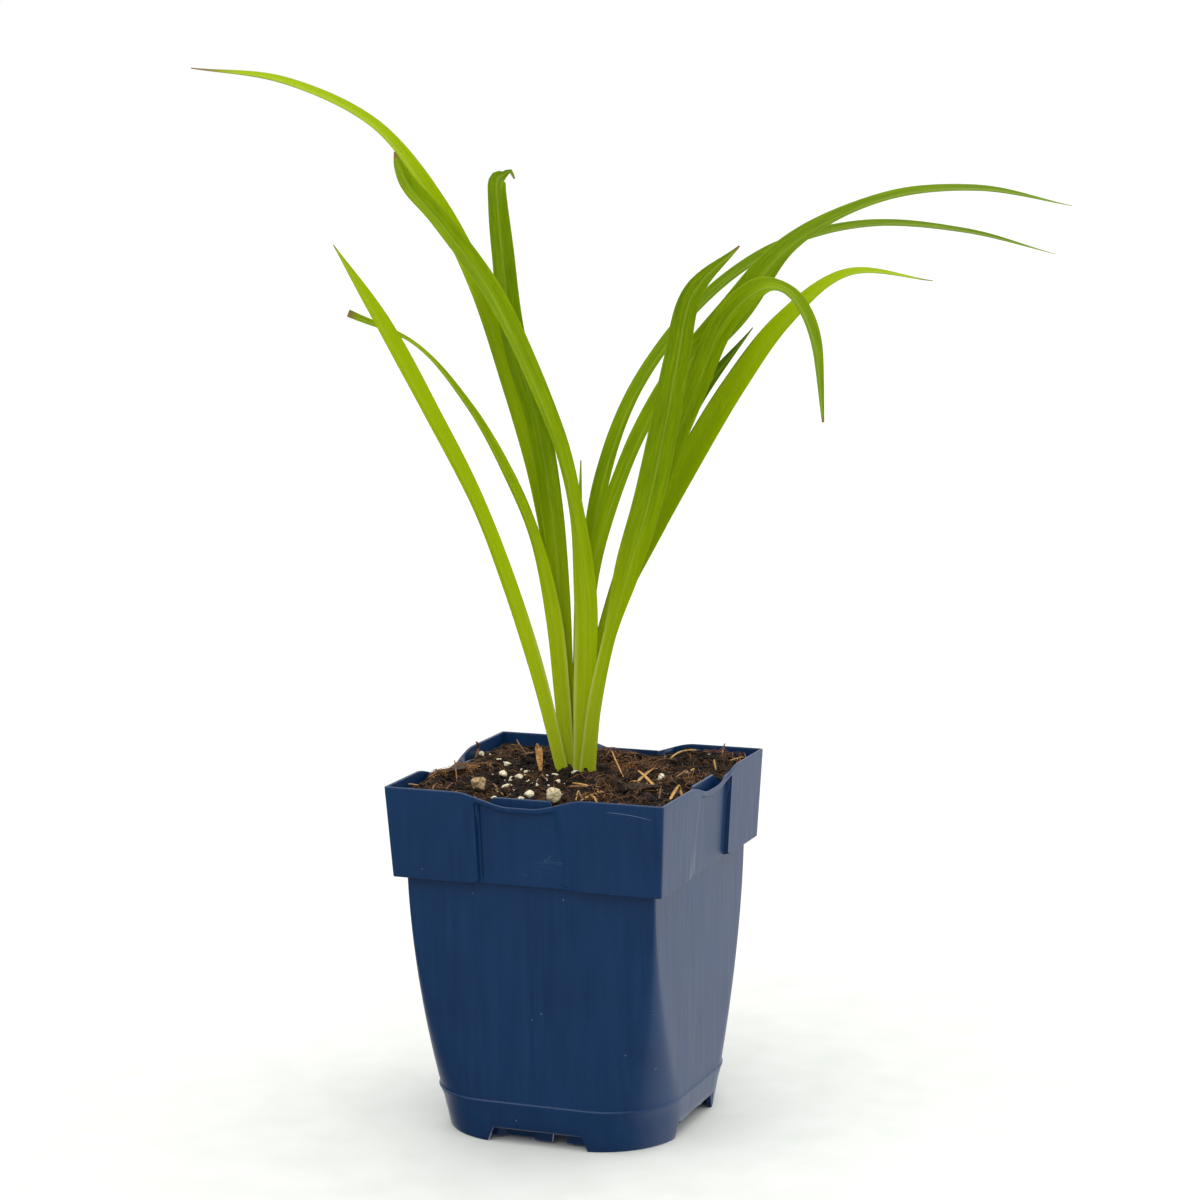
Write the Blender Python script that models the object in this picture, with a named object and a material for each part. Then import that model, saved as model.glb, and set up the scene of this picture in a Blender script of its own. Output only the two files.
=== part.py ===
# Potted daylily: one young clump of strap leaves in a square nursery pot filled with peat mix.
# Sizes below are in millimetres and become metres when a mesh is made; +Z is up and the pot's front is -Y.
# The shapes are worked out from the middle of the pot's base, and set down so that the origin is the middle
# of the ground that the whole plant covers.
import math

import bpy
import numpy as np

metresPerMm = 0.001
potPlace = (-17.6, -19.1)   # middle of the pot, from the middle of the whole plant's outline
gap = 0.35                  # clearance between neighbouring pieces

# Pot
potHeight = 110.0
rimHalf = 45.0              # half the width across the rim
collarDrop = 28.0           # height of the wide collar under the rim
collarHalf = 43.4           # half the width at the collar's lower edge
bodyTopHalf = 40.2          # half the width of the body just under the collar
bodyLowHalf = 38.9          # half the width of the body just above the base ring
ringHeight = 13.5           # height of the base ring
ringHalf = 39.3
footHalf = 37.2
rimRadius = 1.0             # corner radius at the rim
footRadius = 24.5           # corner radius at the foot
cornerGrowth = 30.0         # how fast the corner radius grows towards the foot, and its power
cornerPower = 1.85
cornerLeast = 0.15          # smallest radius of a corner's inner faces
wall = 0.9
recess = 1.5                # how far each face's label panel lies behind the corner skirts
lipDip = 3.7                # how far the panel's lip dips below the rim
tabDrop = 1.8               # how far the inner tab's top lies below the rim
tabInset = 3.1              # from the lip's outer face to the tab's outer face
tabWall = 0.9
pocketDepth = 8.0           # label slot's floor below the rim
beadHeight = 1.8            # lip's band above the label panel
notchHeight = 4.5           # opening between the corner feet
floorUnder = 5.8
floorTop = 7.0
innerSkirtHalf = 34.0       # ring under the floor, close behind the outer wall
innerSkirtFoot = 0.9
innerSkirtRadius = 20.6
footWall = 1.3
edgeRound = 0.4             # step of a moulded edge
lipRound = 0.3              # fall from one ring to the next round the lip
panelStart = 2.2            # from the collar's lower edge up to the first ring of the plain collar
ledgeThickness = 1.0        # of the collar's ledge, where it stands out from the body
collarMiddle = 96.0         # a height half way up the collar
middleHalf = 20.0           # half width of the flat middle of the floor
middleRadius = 12.0
hair = 0.01                 # keeps two rings of the lip apart
drainFoot = 5.4             # slot's width at the ground and at the floor
drainTop = 3.2
drainNear = 26.0            # the slot's inner and outer ends, from the pot's middle
drainFar = 35.0
drainOffset = 6.2           # from a side's middle to its slot, towards the soft corner

# Soil and crown
soilLevel = 106.4
soilTilt = -0.012           # rise towards the back
clumpMound = (0.5, 16.0)    # height and reach of the low mound at the clump
soilHeaps = (               # x, y, height, square of its reach
    (-35.0, -13.0, 1.8, 60.0),
    (32.0, -32.0, 1.5, 160.0),
    (28.0, 37.0, 2.0, 110.0),
    (7.1, -36.9, -1.0, 12.0),
)
soilSlack = 0.4             # how far the soil's flat facets may stand above its curve
crownTop = 105.9
crownAcross = 10.4          # half the crown's width along the fan
crownDeep = 10.3            # half its depth
crownBottom = 88.0
crownSides = 20
clumpAcross = -2.3          # middle of the clump, in the fan's own directions
clumpDepth = -12.5

# Leaves
fanTurn = 21.85             # degrees that the leaf fan is turned from the pot's front
bladeThickness = 0.55
bladeStations = 22


def clearScene():
    for thing in list(bpy.data.objects):
        bpy.data.objects.remove(thing, do_unlink=True)


def makeMaterial(name, colour, roughness, metallic=0.0):
    material = bpy.data.materials.new(name)
    material.use_nodes = True
    shader = material.node_tree.nodes["Principled BSDF"]
    shader.inputs["Base Color"].default_value = (*colour, 1.0)
    shader.inputs["Roughness"].default_value = roughness
    shader.inputs["Metallic"].default_value = metallic
    return material


def linkMesh(name, points, faces):
    placed = (np.asarray(points) + (*potPlace, 0.0)) * metresPerMm
    mesh = bpy.data.meshes.new(name)
    mesh.from_pydata(placed.tolist(), [], faces)
    mesh.update()
    thing = bpy.data.objects.new(name, mesh)
    bpy.context.scene.collection.objects.link(thing)
    return thing


def makeObject(name, points, faces, material):
    thing = linkMesh(name, points, faces)
    thing.data.materials.append(material)
    thing.data.shade_smooth()
    thing.data.set_sharp_from_angle(angle=math.radians(35))
    return thing


def makeCutter(name, points, faces):
    thing = linkMesh(name, points, faces)
    thing.hide_render = True
    thing.display_type = "WIRE"
    return thing


def addBoolean(thing, other, operation):
    modifier = thing.modifiers.new(other.name, "BOOLEAN")
    modifier.object = other
    modifier.operation = operation
    modifier.solver = "EXACT"


def smoothStep(value, start, end):
    t = np.clip((np.asarray(value, float) - start) / (end - start), 0.0, 1.0)
    return t * t * (3.0 - 2.0 * t)


def fanToPot(across, depth, height):
    # The fan's own directions: across it to the right, depth towards its front, height above the ground.
    turn = math.radians(fanTurn)
    x = across * math.cos(turn) + depth * math.sin(turn)
    y = across * math.sin(turn) - depth * math.cos(turn)
    return np.array([x, y, height])


# Rings and lofts: rings run anticlockwise seen from above, and a loft goes through them from first to last.

def loftFaces(ringCount, size):
    faces = []
    for ring in range(ringCount - 1):
        for column in range(size):
            nextColumn = (column + 1) % size
            low, high = ring * size, (ring + 1) * size
            faces.append((low + column, low + nextColumn, high + nextColumn, high + column))
    return faces


def loft(rings):
    # Closed at both ends with a point in the middle of the first and the last ring.
    size = len(rings[0])
    points = np.concatenate([*rings, rings[0].mean(axis=0)[None], rings[-1].mean(axis=0)[None]])
    faces = loftFaces(len(rings), size)
    first, last, lastRing = len(points) - 2, len(points) - 1, (len(rings) - 1) * size
    for column in range(size):
        nextColumn = (column + 1) % size
        faces.append((first, nextColumn, column))
        faces.append((last, lastRing + column, lastRing + nextColumn))
    return points, faces


# Pot columns: each face has stops from its sharp-edged corner to its soft corner, in mm at the rim.
faceStops = np.array([-42.5, -20.5, -15.8, -15.2, -11.0, -4.0, 2.0, 7.0, 10.0, 14.0, 20.5, 42.5])
cornerAngles = np.radians([7.0, 9.0, 27.0, 45.0, 63.0, 81.0, 83.0])
faceNormals = ((0, -1), (1, 0), (0, 1), (-1, 0))
faceAlongs = ((1, 0), (0, 1), (-1, 0), (0, -1))
straightHalf = rimHalf - rimRadius


def columnTable():
    # For each column: its face, place along the straight part from -1 to 1, corner angle and stop.
    faces, places, angles, stops = [], [], [], []
    for face in range(4):
        mirrored = face % 2 == 1
        line = -faceStops[::-1] if mirrored else faceStops
        for along in line:
            faces.append(face)
            places.append(along / straightHalf)
            angles.append(0.0)
            stops.append(-along if mirrored else along)
        for angle in cornerAngles:
            faces.append(face)
            places.append(1.0)
            angles.append(angle)
            stops.append(math.inf)
    return np.array(faces), np.array(places), np.array(angles), np.array(stops)


columnFace, columnPlace, columnAngle, columnStop = columnTable()
onCorner = np.isinf(columnStop)
softStop = np.where(onCorner, rimHalf, columnStop)
skirtMask = 1.0 - smoothStep(softStop, -15.8, -15.2) + smoothStep(softStop, 8.0, 16.0)
dipMask = smoothStep(softStop, -22.0, -4.5) * (1.0 - smoothStep(softStop, 2.5, 20.5))
pocketMask = smoothStep(softStop, -15.2, -11.0) * (1.0 - smoothStep(softStop, 7.0, 10.0))
onFoot = (columnAngle > math.radians(8.0)) & (columnAngle < math.radians(82.0))
footMask = np.where(onCorner & onFoot, 1.0, 0.0)


def potRing(half, radius, inset, height):
    # A rounded square of that half width, moved inwards by inset, at a height that may differ by column.
    radius = np.broadcast_to(np.asarray(radius, float), columnFace.shape)
    radius = np.where(onCorner, np.maximum(radius, inset + cornerLeast), radius)
    normals = np.array(faceNormals, float)[columnFace]
    alongs = np.array(faceAlongs, float)[columnFace]
    straight = (half - radius)[:, None]
    middle = normals * straight + alongs * straight * columnPlace[:, None]
    outward = normals * np.cos(columnAngle)[:, None] + alongs * np.sin(columnAngle)[:, None]
    flat = middle + outward * (radius - inset)[:, None]
    flat = np.where(onCorner[:, None], flat, middle + normals * (radius - inset)[:, None])
    return np.column_stack([flat, np.broadcast_to(np.asarray(height, float), columnFace.shape)])


def bodyHalf(height):
    # Half width of the body's flat faces, nearly upright.
    t = (height - ringHeight) / (potHeight - collarDrop - ringHeight)
    return bodyLowHalf + (bodyTopHalf - bodyLowHalf) * t


def cornerRadius(height):
    # The corners round off towards the base, slowly at first.
    top = potHeight - collarDrop
    t = np.clip((top - height) / top, 0.0, 1.0)
    return np.minimum(rimRadius + cornerGrowth * t ** cornerPower, footRadius)


def collarFace(height):
    return collarHalf + (rimHalf - collarHalf) * (height - (potHeight - collarDrop)) / collarDrop


def innerWallRings(inset):
    # The pot's inner wall from the floor to the shoulder, moved further in by inset.
    rings = []
    for height in (ringHeight, 34.0, 56.0, 78.0):
        rings.append(potRing(bodyHalf(height), cornerRadius(height), wall + inset, height))
    return rings


def makePot(material):
    shoulder = potHeight - collarDrop
    footEdge = notchHeight * (1.0 - footMask)
    panelInset = recess * (1.0 - skirtMask)
    lipTop = potHeight - lipDip * dipMask
    rings = [
        potRing(innerSkirtHalf - wall, innerSkirtRadius, 0.0, floorUnder),
        potRing(innerSkirtHalf - wall, innerSkirtRadius, 0.0, innerSkirtFoot),
        potRing(innerSkirtHalf, innerSkirtRadius + wall, 0.0, innerSkirtFoot),
        potRing(innerSkirtHalf, innerSkirtRadius + wall, 0.0, floorUnder),
        potRing(footHalf, footRadius, footWall, floorUnder),
        potRing(footHalf, footRadius, footWall - 0.1, footEdge),
        potRing(footHalf, footRadius, 0.0, footEdge),
        potRing(footHalf + 0.5, cornerRadius(notchHeight + 0.5), 0.0, notchHeight + 0.5),
        potRing(ringHalf, cornerRadius(ringHeight), 0.0, ringHeight - edgeRound),
        potRing(bodyLowHalf, cornerRadius(ringHeight), 0.0, ringHeight),
    ]
    for height in (25.0, 38.0, 52.0, 67.0, shoulder - 0.6):
        rings.append(potRing(bodyHalf(height), cornerRadius(height), 0.0, height))
    rings += [
        potRing(collarHalf, rimRadius, panelInset + edgeRound, shoulder),
        potRing(collarHalf, rimRadius, panelInset, shoulder + edgeRound),
        potRing(collarFace(shoulder + panelStart), rimRadius, panelInset, shoulder + panelStart),
        potRing(collarFace(collarMiddle), rimRadius, panelInset, collarMiddle),
        potRing(rimHalf, rimRadius, panelInset, lipTop - beadHeight - edgeRound),
        potRing(rimHalf, rimRadius, 0.0, lipTop - beadHeight),
        potRing(rimHalf, rimRadius, 0.0, lipTop - lipRound),
        potRing(rimHalf, rimRadius, 0.25, lipTop),
        potRing(rimHalf, rimRadius, wall, lipTop),
        potRing(rimHalf, rimRadius, wall + hair, lipTop - lipRound),
    ]
    # Inside the lip, the panel's columns go down into the label slot and up over the tab.
    slotFloor, tabTop = potHeight - pocketDepth, potHeight - tabDrop
    slotIn = pocketMask * (tabInset - wall)
    tabIn = pocketMask * (tabInset + tabWall - wall)
    under = lipTop - beadHeight + lipRound
    stops = ((0.0, under), (0.0, slotFloor), (slotIn, slotFloor), (slotIn, tabTop), (tabIn, tabTop))
    for step, (further, height) in enumerate(stops):
        level = pocketMask * height + (1.0 - pocketMask) * (under - step * lipRound)
        rings.append(potRing(rimHalf, rimRadius, panelInset + wall + (step + 1) * hair + further, level))
    rings += [
        potRing(rimHalf, rimRadius, panelInset + wall + 6 * hair + tabIn, slotFloor - wall),
        potRing(rimHalf, rimRadius, panelInset + wall, slotFloor - 2.0 * wall),
        potRing(collarFace(collarMiddle), rimRadius, panelInset + wall, collarMiddle),
        potRing(collarFace(shoulder + panelStart), rimRadius, panelInset + wall, shoulder + ledgeThickness),
        potRing(bodyHalf(shoulder), rimRadius, wall, shoulder + ledgeThickness),
    ]
    rings += innerWallRings(0.0)[::-1]
    rings += [
        potRing(ringHalf, cornerRadius(10.0), footWall + 0.3, floorTop),
        potRing(middleHalf, middleRadius, 0.0, floorTop),
    ]
    points, faces = loft(rings)
    pot = makeObject("nursery_pot", points, faces, material)
    addBoolean(pot, makeDrainCutter(), "DIFFERENCE")
    return pot


def makeDrainCutter():
    # One drain slot at each side, through the inner skirt and the floor, narrower at its top.
    points, faces = [], []
    for face in range(4):
        normal, along = np.array(faceNormals[face], float), np.array(faceAlongs[face], float)
        side = -drainOffset if face % 2 == 1 else drainOffset
        first = len(points)
        for height, width in ((-1.0, drainFoot), (floorTop + 1.0, drainTop)):
            for out, step in ((drainNear, -1), (drainFar, -1), (drainFar, 1), (drainNear, 1)):
                flat = normal * out + along * (side + step * width / 2)
                points.append((*flat, height))
        for corner in range(4):
            low, nextLow = first + corner, first + (corner + 1) % 4
            faces.append((low, nextLow, nextLow + 4, low + 4))
        faces.append((first + 3, first + 2, first + 1, first))
        faces.append((first + 4, first + 5, first + 6, first + 7))
    return makeCutter("drain_cutter", points, faces)


# Soil: fills the pot, its top a low uneven mound, highest at the clump and at the front right.

def soilHeight(x, y):
    clump = fanToPot(clumpAcross, clumpDepth, 0.0)
    away = np.hypot(x - clump[0], y - clump[1])
    level = soilLevel + soilTilt * y + clumpMound[0] * np.exp(-(away / clumpMound[1]) ** 2)
    for heapX, heapY, height, reach in soilHeaps:
        level = level + height * np.exp(-((x - heapX) ** 2 + (y - heapY) ** 2) / reach)
    lumps = 0.35 * np.sin(0.42 * x + 1.3) * np.cos(0.37 * y - 0.4) + 0.22 * np.sin(0.21 * x - 0.33 * y)
    return level + lumps


def makeSoil(material):
    # At the sharp skirt's edge the soil steps in one column early, clear of the slanting wall.
    shoulder = potHeight - collarDrop
    panelInset = recess * (smoothStep(softStop, -20.5, -15.8) - smoothStep(softStop, 8.0, 16.0))
    tabIn = pocketMask * (tabInset + tabWall)
    ledgeTop = shoulder + ledgeThickness + gap
    rings = [
        potRing(middleHalf, middleRadius, 0.0, floorTop + gap),
        potRing(ringHalf, cornerRadius(10.0), footWall + 1.1, floorTop + gap),
    ]
    rings += innerWallRings(gap)
    rings += [
        potRing(bodyHalf(shoulder), rimRadius, wall + gap, ledgeTop),
        potRing(collarFace(shoulder + panelStart), rimRadius, panelInset + wall + gap, ledgeTop),
        potRing(collarFace(collarMiddle), rimRadius, panelInset + wall + gap, collarMiddle),
        potRing(collarFace(99.2), rimRadius, panelInset + wall + gap, 99.2),
        potRing(collarFace(100.2), rimRadius, panelInset + wall + gap + tabIn, 100.2),
    ]
    edge = potRing(rimHalf, rimRadius, panelInset + wall + gap + 0.7 + tabIn, 0.0)
    middle = fanToPot(clumpAcross, clumpDepth, 0.0)
    for share in (1.0, 0.86, 0.72, 0.58, 0.44, 0.3, 0.14):
        ring = middle + (edge - middle) * share
        ring[:, 2] = soilHeight(ring[:, 0], ring[:, 1])
        rings.append(ring)
    points, faces = loft(rings)
    points[-1, 2] = soilHeight(points[-1, 0], points[-1, 1])
    soil = makeObject("peat_soil", points, faces, material)
    addBoolean(soil, makeCrownSolid("crown_space", None, gap + 0.05), "DIFFERENCE")
    return soil


# Crown: the short stem base that carries every leaf, with its fleshy storage roots grown from it.

def crownRings(extra):
    rings = []
    levels = ((crownBottom - extra, 0.45), (91.0, 0.68), (96.0, 0.88), (101.0, 0.97), (crownTop - 1.0, 1.0))
    for height, share in levels:
        rings.append((height, crownAcross * share + extra, crownDeep * share + extra))
    rings.append((crownTop + (6.0 if extra else 0.0), crownAcross - (0.0 if extra else 0.5) + extra,
                  crownDeep - (0.0 if extra else 0.5) + extra))
    angles = np.arange(crownSides) * 2 * math.pi / crownSides
    solid = []
    for height, across, deep in rings:
        aside = [(clumpAcross + across * math.cos(a), clumpDepth - deep * math.sin(a)) for a in angles]
        solid.append(np.array([fanToPot(*place, height) for place in aside]))
    return solid


# Each root: compass angle about the clump, reach outwards, lowest height, thickest radius.
rootPlan = (
    (20.0, 24.0, 34.0, 2.1),
    (75.0, 15.0, 22.0, 2.4),
    (130.0, 20.0, 44.0, 1.9),
    (185.0, 17.0, 26.0, 2.3),
    (240.0, 26.0, 38.0, 2.0),
    (290.0, 30.0, 24.0, 2.5),
    (335.0, 27.0, 50.0, 1.8),
)
rootNeck = 2.5              # how far from the clump's middle a root leaves the crown
rootThin = 1.1              # radius of a root where it isn't swollen
rootTip = 0.5
rootStations = 9
rootSides = 8


def rootRings(angle, reach, lowest, thickest, extra):
    # A root leaves the crown, bends down, swells into a storage root and ends in a blunt tip.
    t = np.linspace(0.0, 1.0, rootStations)
    start = fanToPot(clumpAcross, clumpDepth, crownBottom + 7.0)
    direction = np.array([math.cos(math.radians(angle)), math.sin(math.radians(angle))])
    outward = rootNeck + (reach - rootNeck) * np.sin(t * math.pi / 2)
    height = start[2] + (lowest - start[2]) * t ** 1.4
    centre = np.column_stack([start[0] + direction[0] * outward, start[1] + direction[1] * outward, height])
    swelling = np.exp(-((t - 0.68) / 0.16) ** 2)
    radius = rootThin + (thickest - rootThin) * swelling + extra
    radius[-1] = rootTip + extra
    centre[-1, 2] -= extra
    tangent = np.gradient(centre, axis=0)
    tangent /= np.linalg.norm(tangent, axis=1)[:, None]
    side = np.cross(tangent, np.array([-direction[1], direction[0], 0.0]))
    side /= np.linalg.norm(side, axis=1)[:, None]
    other = np.cross(tangent, side)
    rings = []
    for station in range(rootStations):
        around = np.arange(rootSides) * 2 * math.pi / rootSides
        spokes = np.cos(around)[:, None] * side[station] + np.sin(around)[:, None] * other[station]
        rings.append(centre[station] + spokes * radius[station])
    return rings


def makeCrownSolid(name, material, extra):
    points, faces = loft(crownRings(extra))
    if material is None:
        crown = makeCutter(name, points, faces)
    else:
        crown = makeObject(name, points, faces, material)
    for number, plan in enumerate(rootPlan, 1):
        points, faces = loft(rootRings(*plan, extra))
        addBoolean(crown, makeCutter(f"{name}_root_{number}", points, faces), "UNION")
    return crown


# Leaves: a blade is a shallow V carried along a smooth route. Routes are in the fan's directions in mm,
# from the crown to the tip, and run down the middle of each blade's outline as seen from the fan's front.
# Turn is the blade's twist from facing the fan's front, in degrees.
leafPlan = {
    "leaf_left_low": dict(
        route=((-4.8, -8.2, 106.3), (-11.7, -7, 137), (-20, -4, 166), (-30, -1, 194), (-43, 5, 222),
               (-56, 11, 248), (-70, 18, 272)),
        width=(3.8, 4.9, 6.3, 6.8, 7.4, 6.8, 0.4),
        turn=(0, -20, -40, -45, -45, -45, -45), fold=(4, 16, 28, 30, 30, 28, 20)),
    "leaf_left_thin": dict(
        route=((-3.2, -9.2, 106.3), (-4.7, -9, 131), (-7, -8.2, 156), (-12, -7, 180), (-21, -4, 203),
               (-32, -1, 223), (-47, 2, 241), (-67, 6, 251)),
        width=(4.2, 5.1, 5.3, 4.6, 5.3, 3.9, 2.0, 2.4),
        turn=(0, -6, -15, -40, -50, -60, -60, -25), fold=(4, 8, 14, 24, 28, 28, 22, 10)),
    "leaf_left_long": dict(
        route=((-2.4, -12, 106.3), (-4.6, -12.4, 138), (-6, -12.8, 169), (-11, -13.2, 199),
               (-19, -13.2, 228), (-28.4, -13, 258), (-41, -10.5, 284), (-58, -6.5, 306.6), (-84, 1, 320),
               (-112, 4, 324)),
        width=(4.4, 5.6, 6.8, 7.8, 8.0, 8.0, 7.2, 6.0, 5.2, 0.8),
        turn=(0, -5, -12, -30, -35, -35, -45, -62, -68, -70), fold=(4, 8, 14, 22, 24, 24, 22, 20, 18, 14)),
    "leaf_upright": dict(
        route=((-1.8, -10.6, 106.3), (-3.8, -10.8, 134), (-5, -10.8, 162), (-7, -10.6, 189),
               (-11, -10.4, 216), (-18, -11, 242), (-21, -13, 269), (-22.3, -14, 284),
               (-22.2, -15.5, 289.4), (-20.2, -17.5, 290.9), (-18.3, -17.5, 292), (-17.1, -17, 289.6)),
        width=(4.4, 5.6, 6.6, 7.4, 8.0, 8.2, 7.4, 6.0, 5.2, 2.2, 1.4, 0.5),
        turn=(0, -5, -10, -14, -16, -16, -12, -8, -8, -8, -8, -8),
        fold=(4, 8, 14, 20, 22, 22, 20, 14, 10, 8, 8, 8)),
    "leaf_centre_front": dict(
        route=((0.9, -7.3, 106.3), (2.2, -7.4, 133), (3, -7, 159), (1, -6, 186), (-4, -4, 210),
               (-13, -3, 234), (-24, -2, 257), (-39, -1, 278), (-47.6, 0, 288), (-50.9, 0.5, 294),
               (-52.4, 0.5, 298.6)),
        width=(5.0, 6.8, 7.4, 7.0, 7.2, 8.0, 8.0, 7.2, 6.6, 4.0, 0.5),
        turn=(0, -2, -6, -46, -50, -46, -40, -36, -35, -30, -25),
        fold=(4, 8, 14, 22, 24, 24, 24, 22, 20, 18, 16)),
    "leaf_young_centre": dict(
        route=((-1, -13.3, 106.3), (0, -13.6, 139), (1, -15.2, 171), (2, -18, 203)),
        width=(2.4, 2.6, 2.4, 0.4),
        turn=(0, 0, 0, 0), fold=(4, 8, 12, 12)),
    "leaf_right_back": dict(
        route=((0.2, -18.9, 106.3), (1.8, -20.8, 136), (3.8, -22.4, 167), (8.6, -24, 197), (19.5, -25, 225),
               (38.5, -27, 250), (62, -28, 267), (91, -29, 274.4), (121, -30, 272), (150, -30, 264)),
        width=(4.0, 4.8, 5.6, 6.4, 6.4, 6.6, 6.2, 5.4, 4.0, 0.4),
        turn=(0, 5, 18, 40, 50, 57, 62, 70, 72, 72), fold=(4, 8, 14, 20, 22, 22, 20, 18, 16, 12)),
    "leaf_right_top": dict(
        route=((0.8, -17.8, 106.3), (2.4, -19.1, 137), (4.6, -19.2, 167), (13.8, -18, 197), (27, -14, 224),
               (48.4, -12, 248), (67, -11, 270), (94, -10, 283), (123, -10, 285.6), (152, -9, 279.6)),
        width=(4.0, 4.8, 5.8, 6.8, 8.2, 10.4, 8.4, 6.5, 5.0, 0.4),
        turn=(0, 5, 22, 48, 48, 14, 52, 70, 72, 72), fold=(4, 8, 14, 18, 20, 18, 20, 20, 16, 12)),
    "leaf_front_broad": dict(
        route=((2.7, -6.2, 106.3), (5.2, -4.6, 128), (10, -3, 150), (16, 0, 172), (22, 3, 192),
               (27, 6, 214), (31, 9, 235), (36, 12, 256), (50, 15, 270)),
        width=(5.2, 4.6, 5.6, 9.2, 9.8, 9.5, 8.5, 6.5, 0.6),
        turn=(0, 18, 44, 26, 20, 16, 14, 20, 30), fold=(4, 8, 14, 18, 18, 18, 18, 16, 12)),
    "leaf_right_reaching": dict(
        route=((1.2, -16.7, 106.3), (4.2, -17.1, 131), (11.5, -17, 156), (23.8, -17, 181), (35.8, -15, 204),
               (49, -12, 226), (64.4, -8, 246.6), (84, -4, 261), (109, -1, 258)),
        width=(4.0, 4.6, 5.6, 7.2, 8.6, 8.4, 7.6, 5.2, 0.6),
        turn=(0, 6, 14, 22, 22, 28, 45, 68, 72), fold=(4, 8, 14, 18, 20, 22, 22, 20, 14)),
    "leaf_right_drooping": dict(
        route=((0.8, -14.4, 106.3), (3.6, -14.6, 130), (10, -12, 153), (18, -8, 177), (26.5, -5, 200),
               (36, -1, 224), (45, 4, 246), (54.6, 7, 256.4), (62, 8, 257.8), (68.4, 10, 252.6),
               (73, 12, 240), (74.8, 13, 217)),
        width=(4.0, 4.6, 5.4, 6.0, 7.0, 8.0, 8.4, 8.4, 7.0, 7.2, 6.2, 1.2),
        turn=(0, 6, 12, 16, 18, 20, 20, 40, 66, 60, 56, 50),
        fold=(4, 8, 14, 18, 20, 20, 20, 20, 20, 20, 18, 12)),
    "leaf_right_short": dict(
        route=((0.6, -15.6, 106.3), (4.8, -15.8, 136), (13, -14.5, 165), (23, -13, 193), (37, -11.5, 221),
               (55, -9, 244)),
        width=(3.2, 3.6, 4.4, 5.2, 6.2, 0.5),
        turn=(0, 6, 14, 25, 40, 50), fold=(4, 8, 14, 20, 22, 16)),
}


def smoothThrough(knots, stations):
    # A smooth curve through every knot, read at evenly spaced stations along its length.
    knots = np.asarray(knots, float)
    padded = np.vstack([2 * knots[0] - knots[1], knots, 2 * knots[-1] - knots[-2]])
    fine = []
    for index in range(1, len(padded) - 2):
        a, b, c, d = padded[index - 1:index + 3]
        t = np.linspace(0.0, 1.0, 24, endpoint=False)[:, None]
        fine.append(0.5 * (2 * b + (c - a) * t + (2 * a - 5 * b + 4 * c - d) * t ** 2
                           + (3 * b - a - 3 * c + d) * t ** 3))
    fine = np.vstack([*fine, knots[-1:]])
    length = np.concatenate([[0.0], np.cumsum(np.linalg.norm(np.diff(fine[:, :3], axis=0), axis=1))])
    wanted = np.linspace(0.0, length[-1], stations)
    return np.column_stack([np.interp(wanted, length, fine[:, k]) for k in range(fine.shape[1])])


def bladeFrames(centre):
    # At each station: the direction along the blade, to its side, and out of its broad face.
    front = fanToPot(0.0, 1.0, 0.0)
    along = np.gradient(centre, axis=0)
    along /= np.linalg.norm(along, axis=1)[:, None]
    facing = front - along * (along @ front)[:, None]
    facing /= np.linalg.norm(facing, axis=1)[:, None]
    return along, np.cross(along, facing), facing


def makeLeaf(name, plan, material):
    rows = np.column_stack([plan["route"], plan["width"], plan["turn"], plan["fold"]])
    rows = smoothThrough(rows, bladeStations)
    centre = np.array([fanToPot(*row[:3]) for row in rows])
    half = np.maximum(rows[:, 3], 0.6)[:, None] / 2
    turn, fold = np.radians(rows[:, 4])[:, None], np.radians(rows[:, 5])[:, None]
    along, side, facing = bladeFrames(centre)
    across = side * np.cos(turn) + facing * np.sin(turn)
    upper = facing * np.cos(turn) - side * np.sin(turn)
    # The fold lies to one side of a turned blade's middle.
    offMiddle = np.maximum(np.cos(turn + fold), 0.0) - np.maximum(np.cos(turn - fold), 0.0)
    centre = centre - side * half * offMiddle / 2
    right = centre + half * (across * np.cos(fold) + upper * np.sin(fold))
    left = centre + half * (-across * np.cos(fold) + upper * np.sin(fold))
    lift = upper * bladeThickness / 2
    rings = []
    for k in range(bladeStations):
        under = [right[k] - lift[k], centre[k] - lift[k], left[k] - lift[k]]
        over = [left[k] + lift[k], centre[k] + lift[k], right[k] + lift[k]]
        rings.append(np.array(under + over))
    rings[0][:, 2] = crownTop + gap
    points, faces = loft(rings)
    return makeObject(name, points, faces, material)


# Loose pieces on the soil: pumice stones, bark chips, perlite grains and one dry leaf stub.
# Place in the pot, half length, half width, half height, compass turn.
stonePlan = {
    "pumice_stone_left": (-19.8, -30.7, 2.4, 2.2, 2.3, 20.0),
    "pumice_stone_front": (7.1, -36.9, 2.3, 2.1, 2.5, -35.0),
    "perlite_grain_1": (-28.0, 8.4, 1.8, 0.9, 0.7, 10.0),
    "perlite_grain_2": (-21.2, -9.4, 1.4, 1.1, 1.0, 70.0),
    "perlite_grain_3": (-15.5, -10.2, 1.3, 0.9, 0.8, -20.0),
    "perlite_grain_4": (-1.7, -34.6, 1.5, 1.2, 1.1, 35.0),
    "perlite_grain_5": (26.2, 3.1, 1.2, 0.9, 1.1, 60.0),
}
barkPlan = {
    "bark_chip_1": (13.5, -8.4, 4.4, 2.4, 1.1, 25.0),
    "bark_chip_2": (27.4, -16.2, 5.6, 1.9, 1.1, 20.0),
    "bark_chip_3": (-34.0, -13.5, 5.2, 1.5, 0.7, 75.0),
    "bark_chip_4": (9.8, -18.6, 4.6, 1.2, 0.5, 18.0),
}


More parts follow.
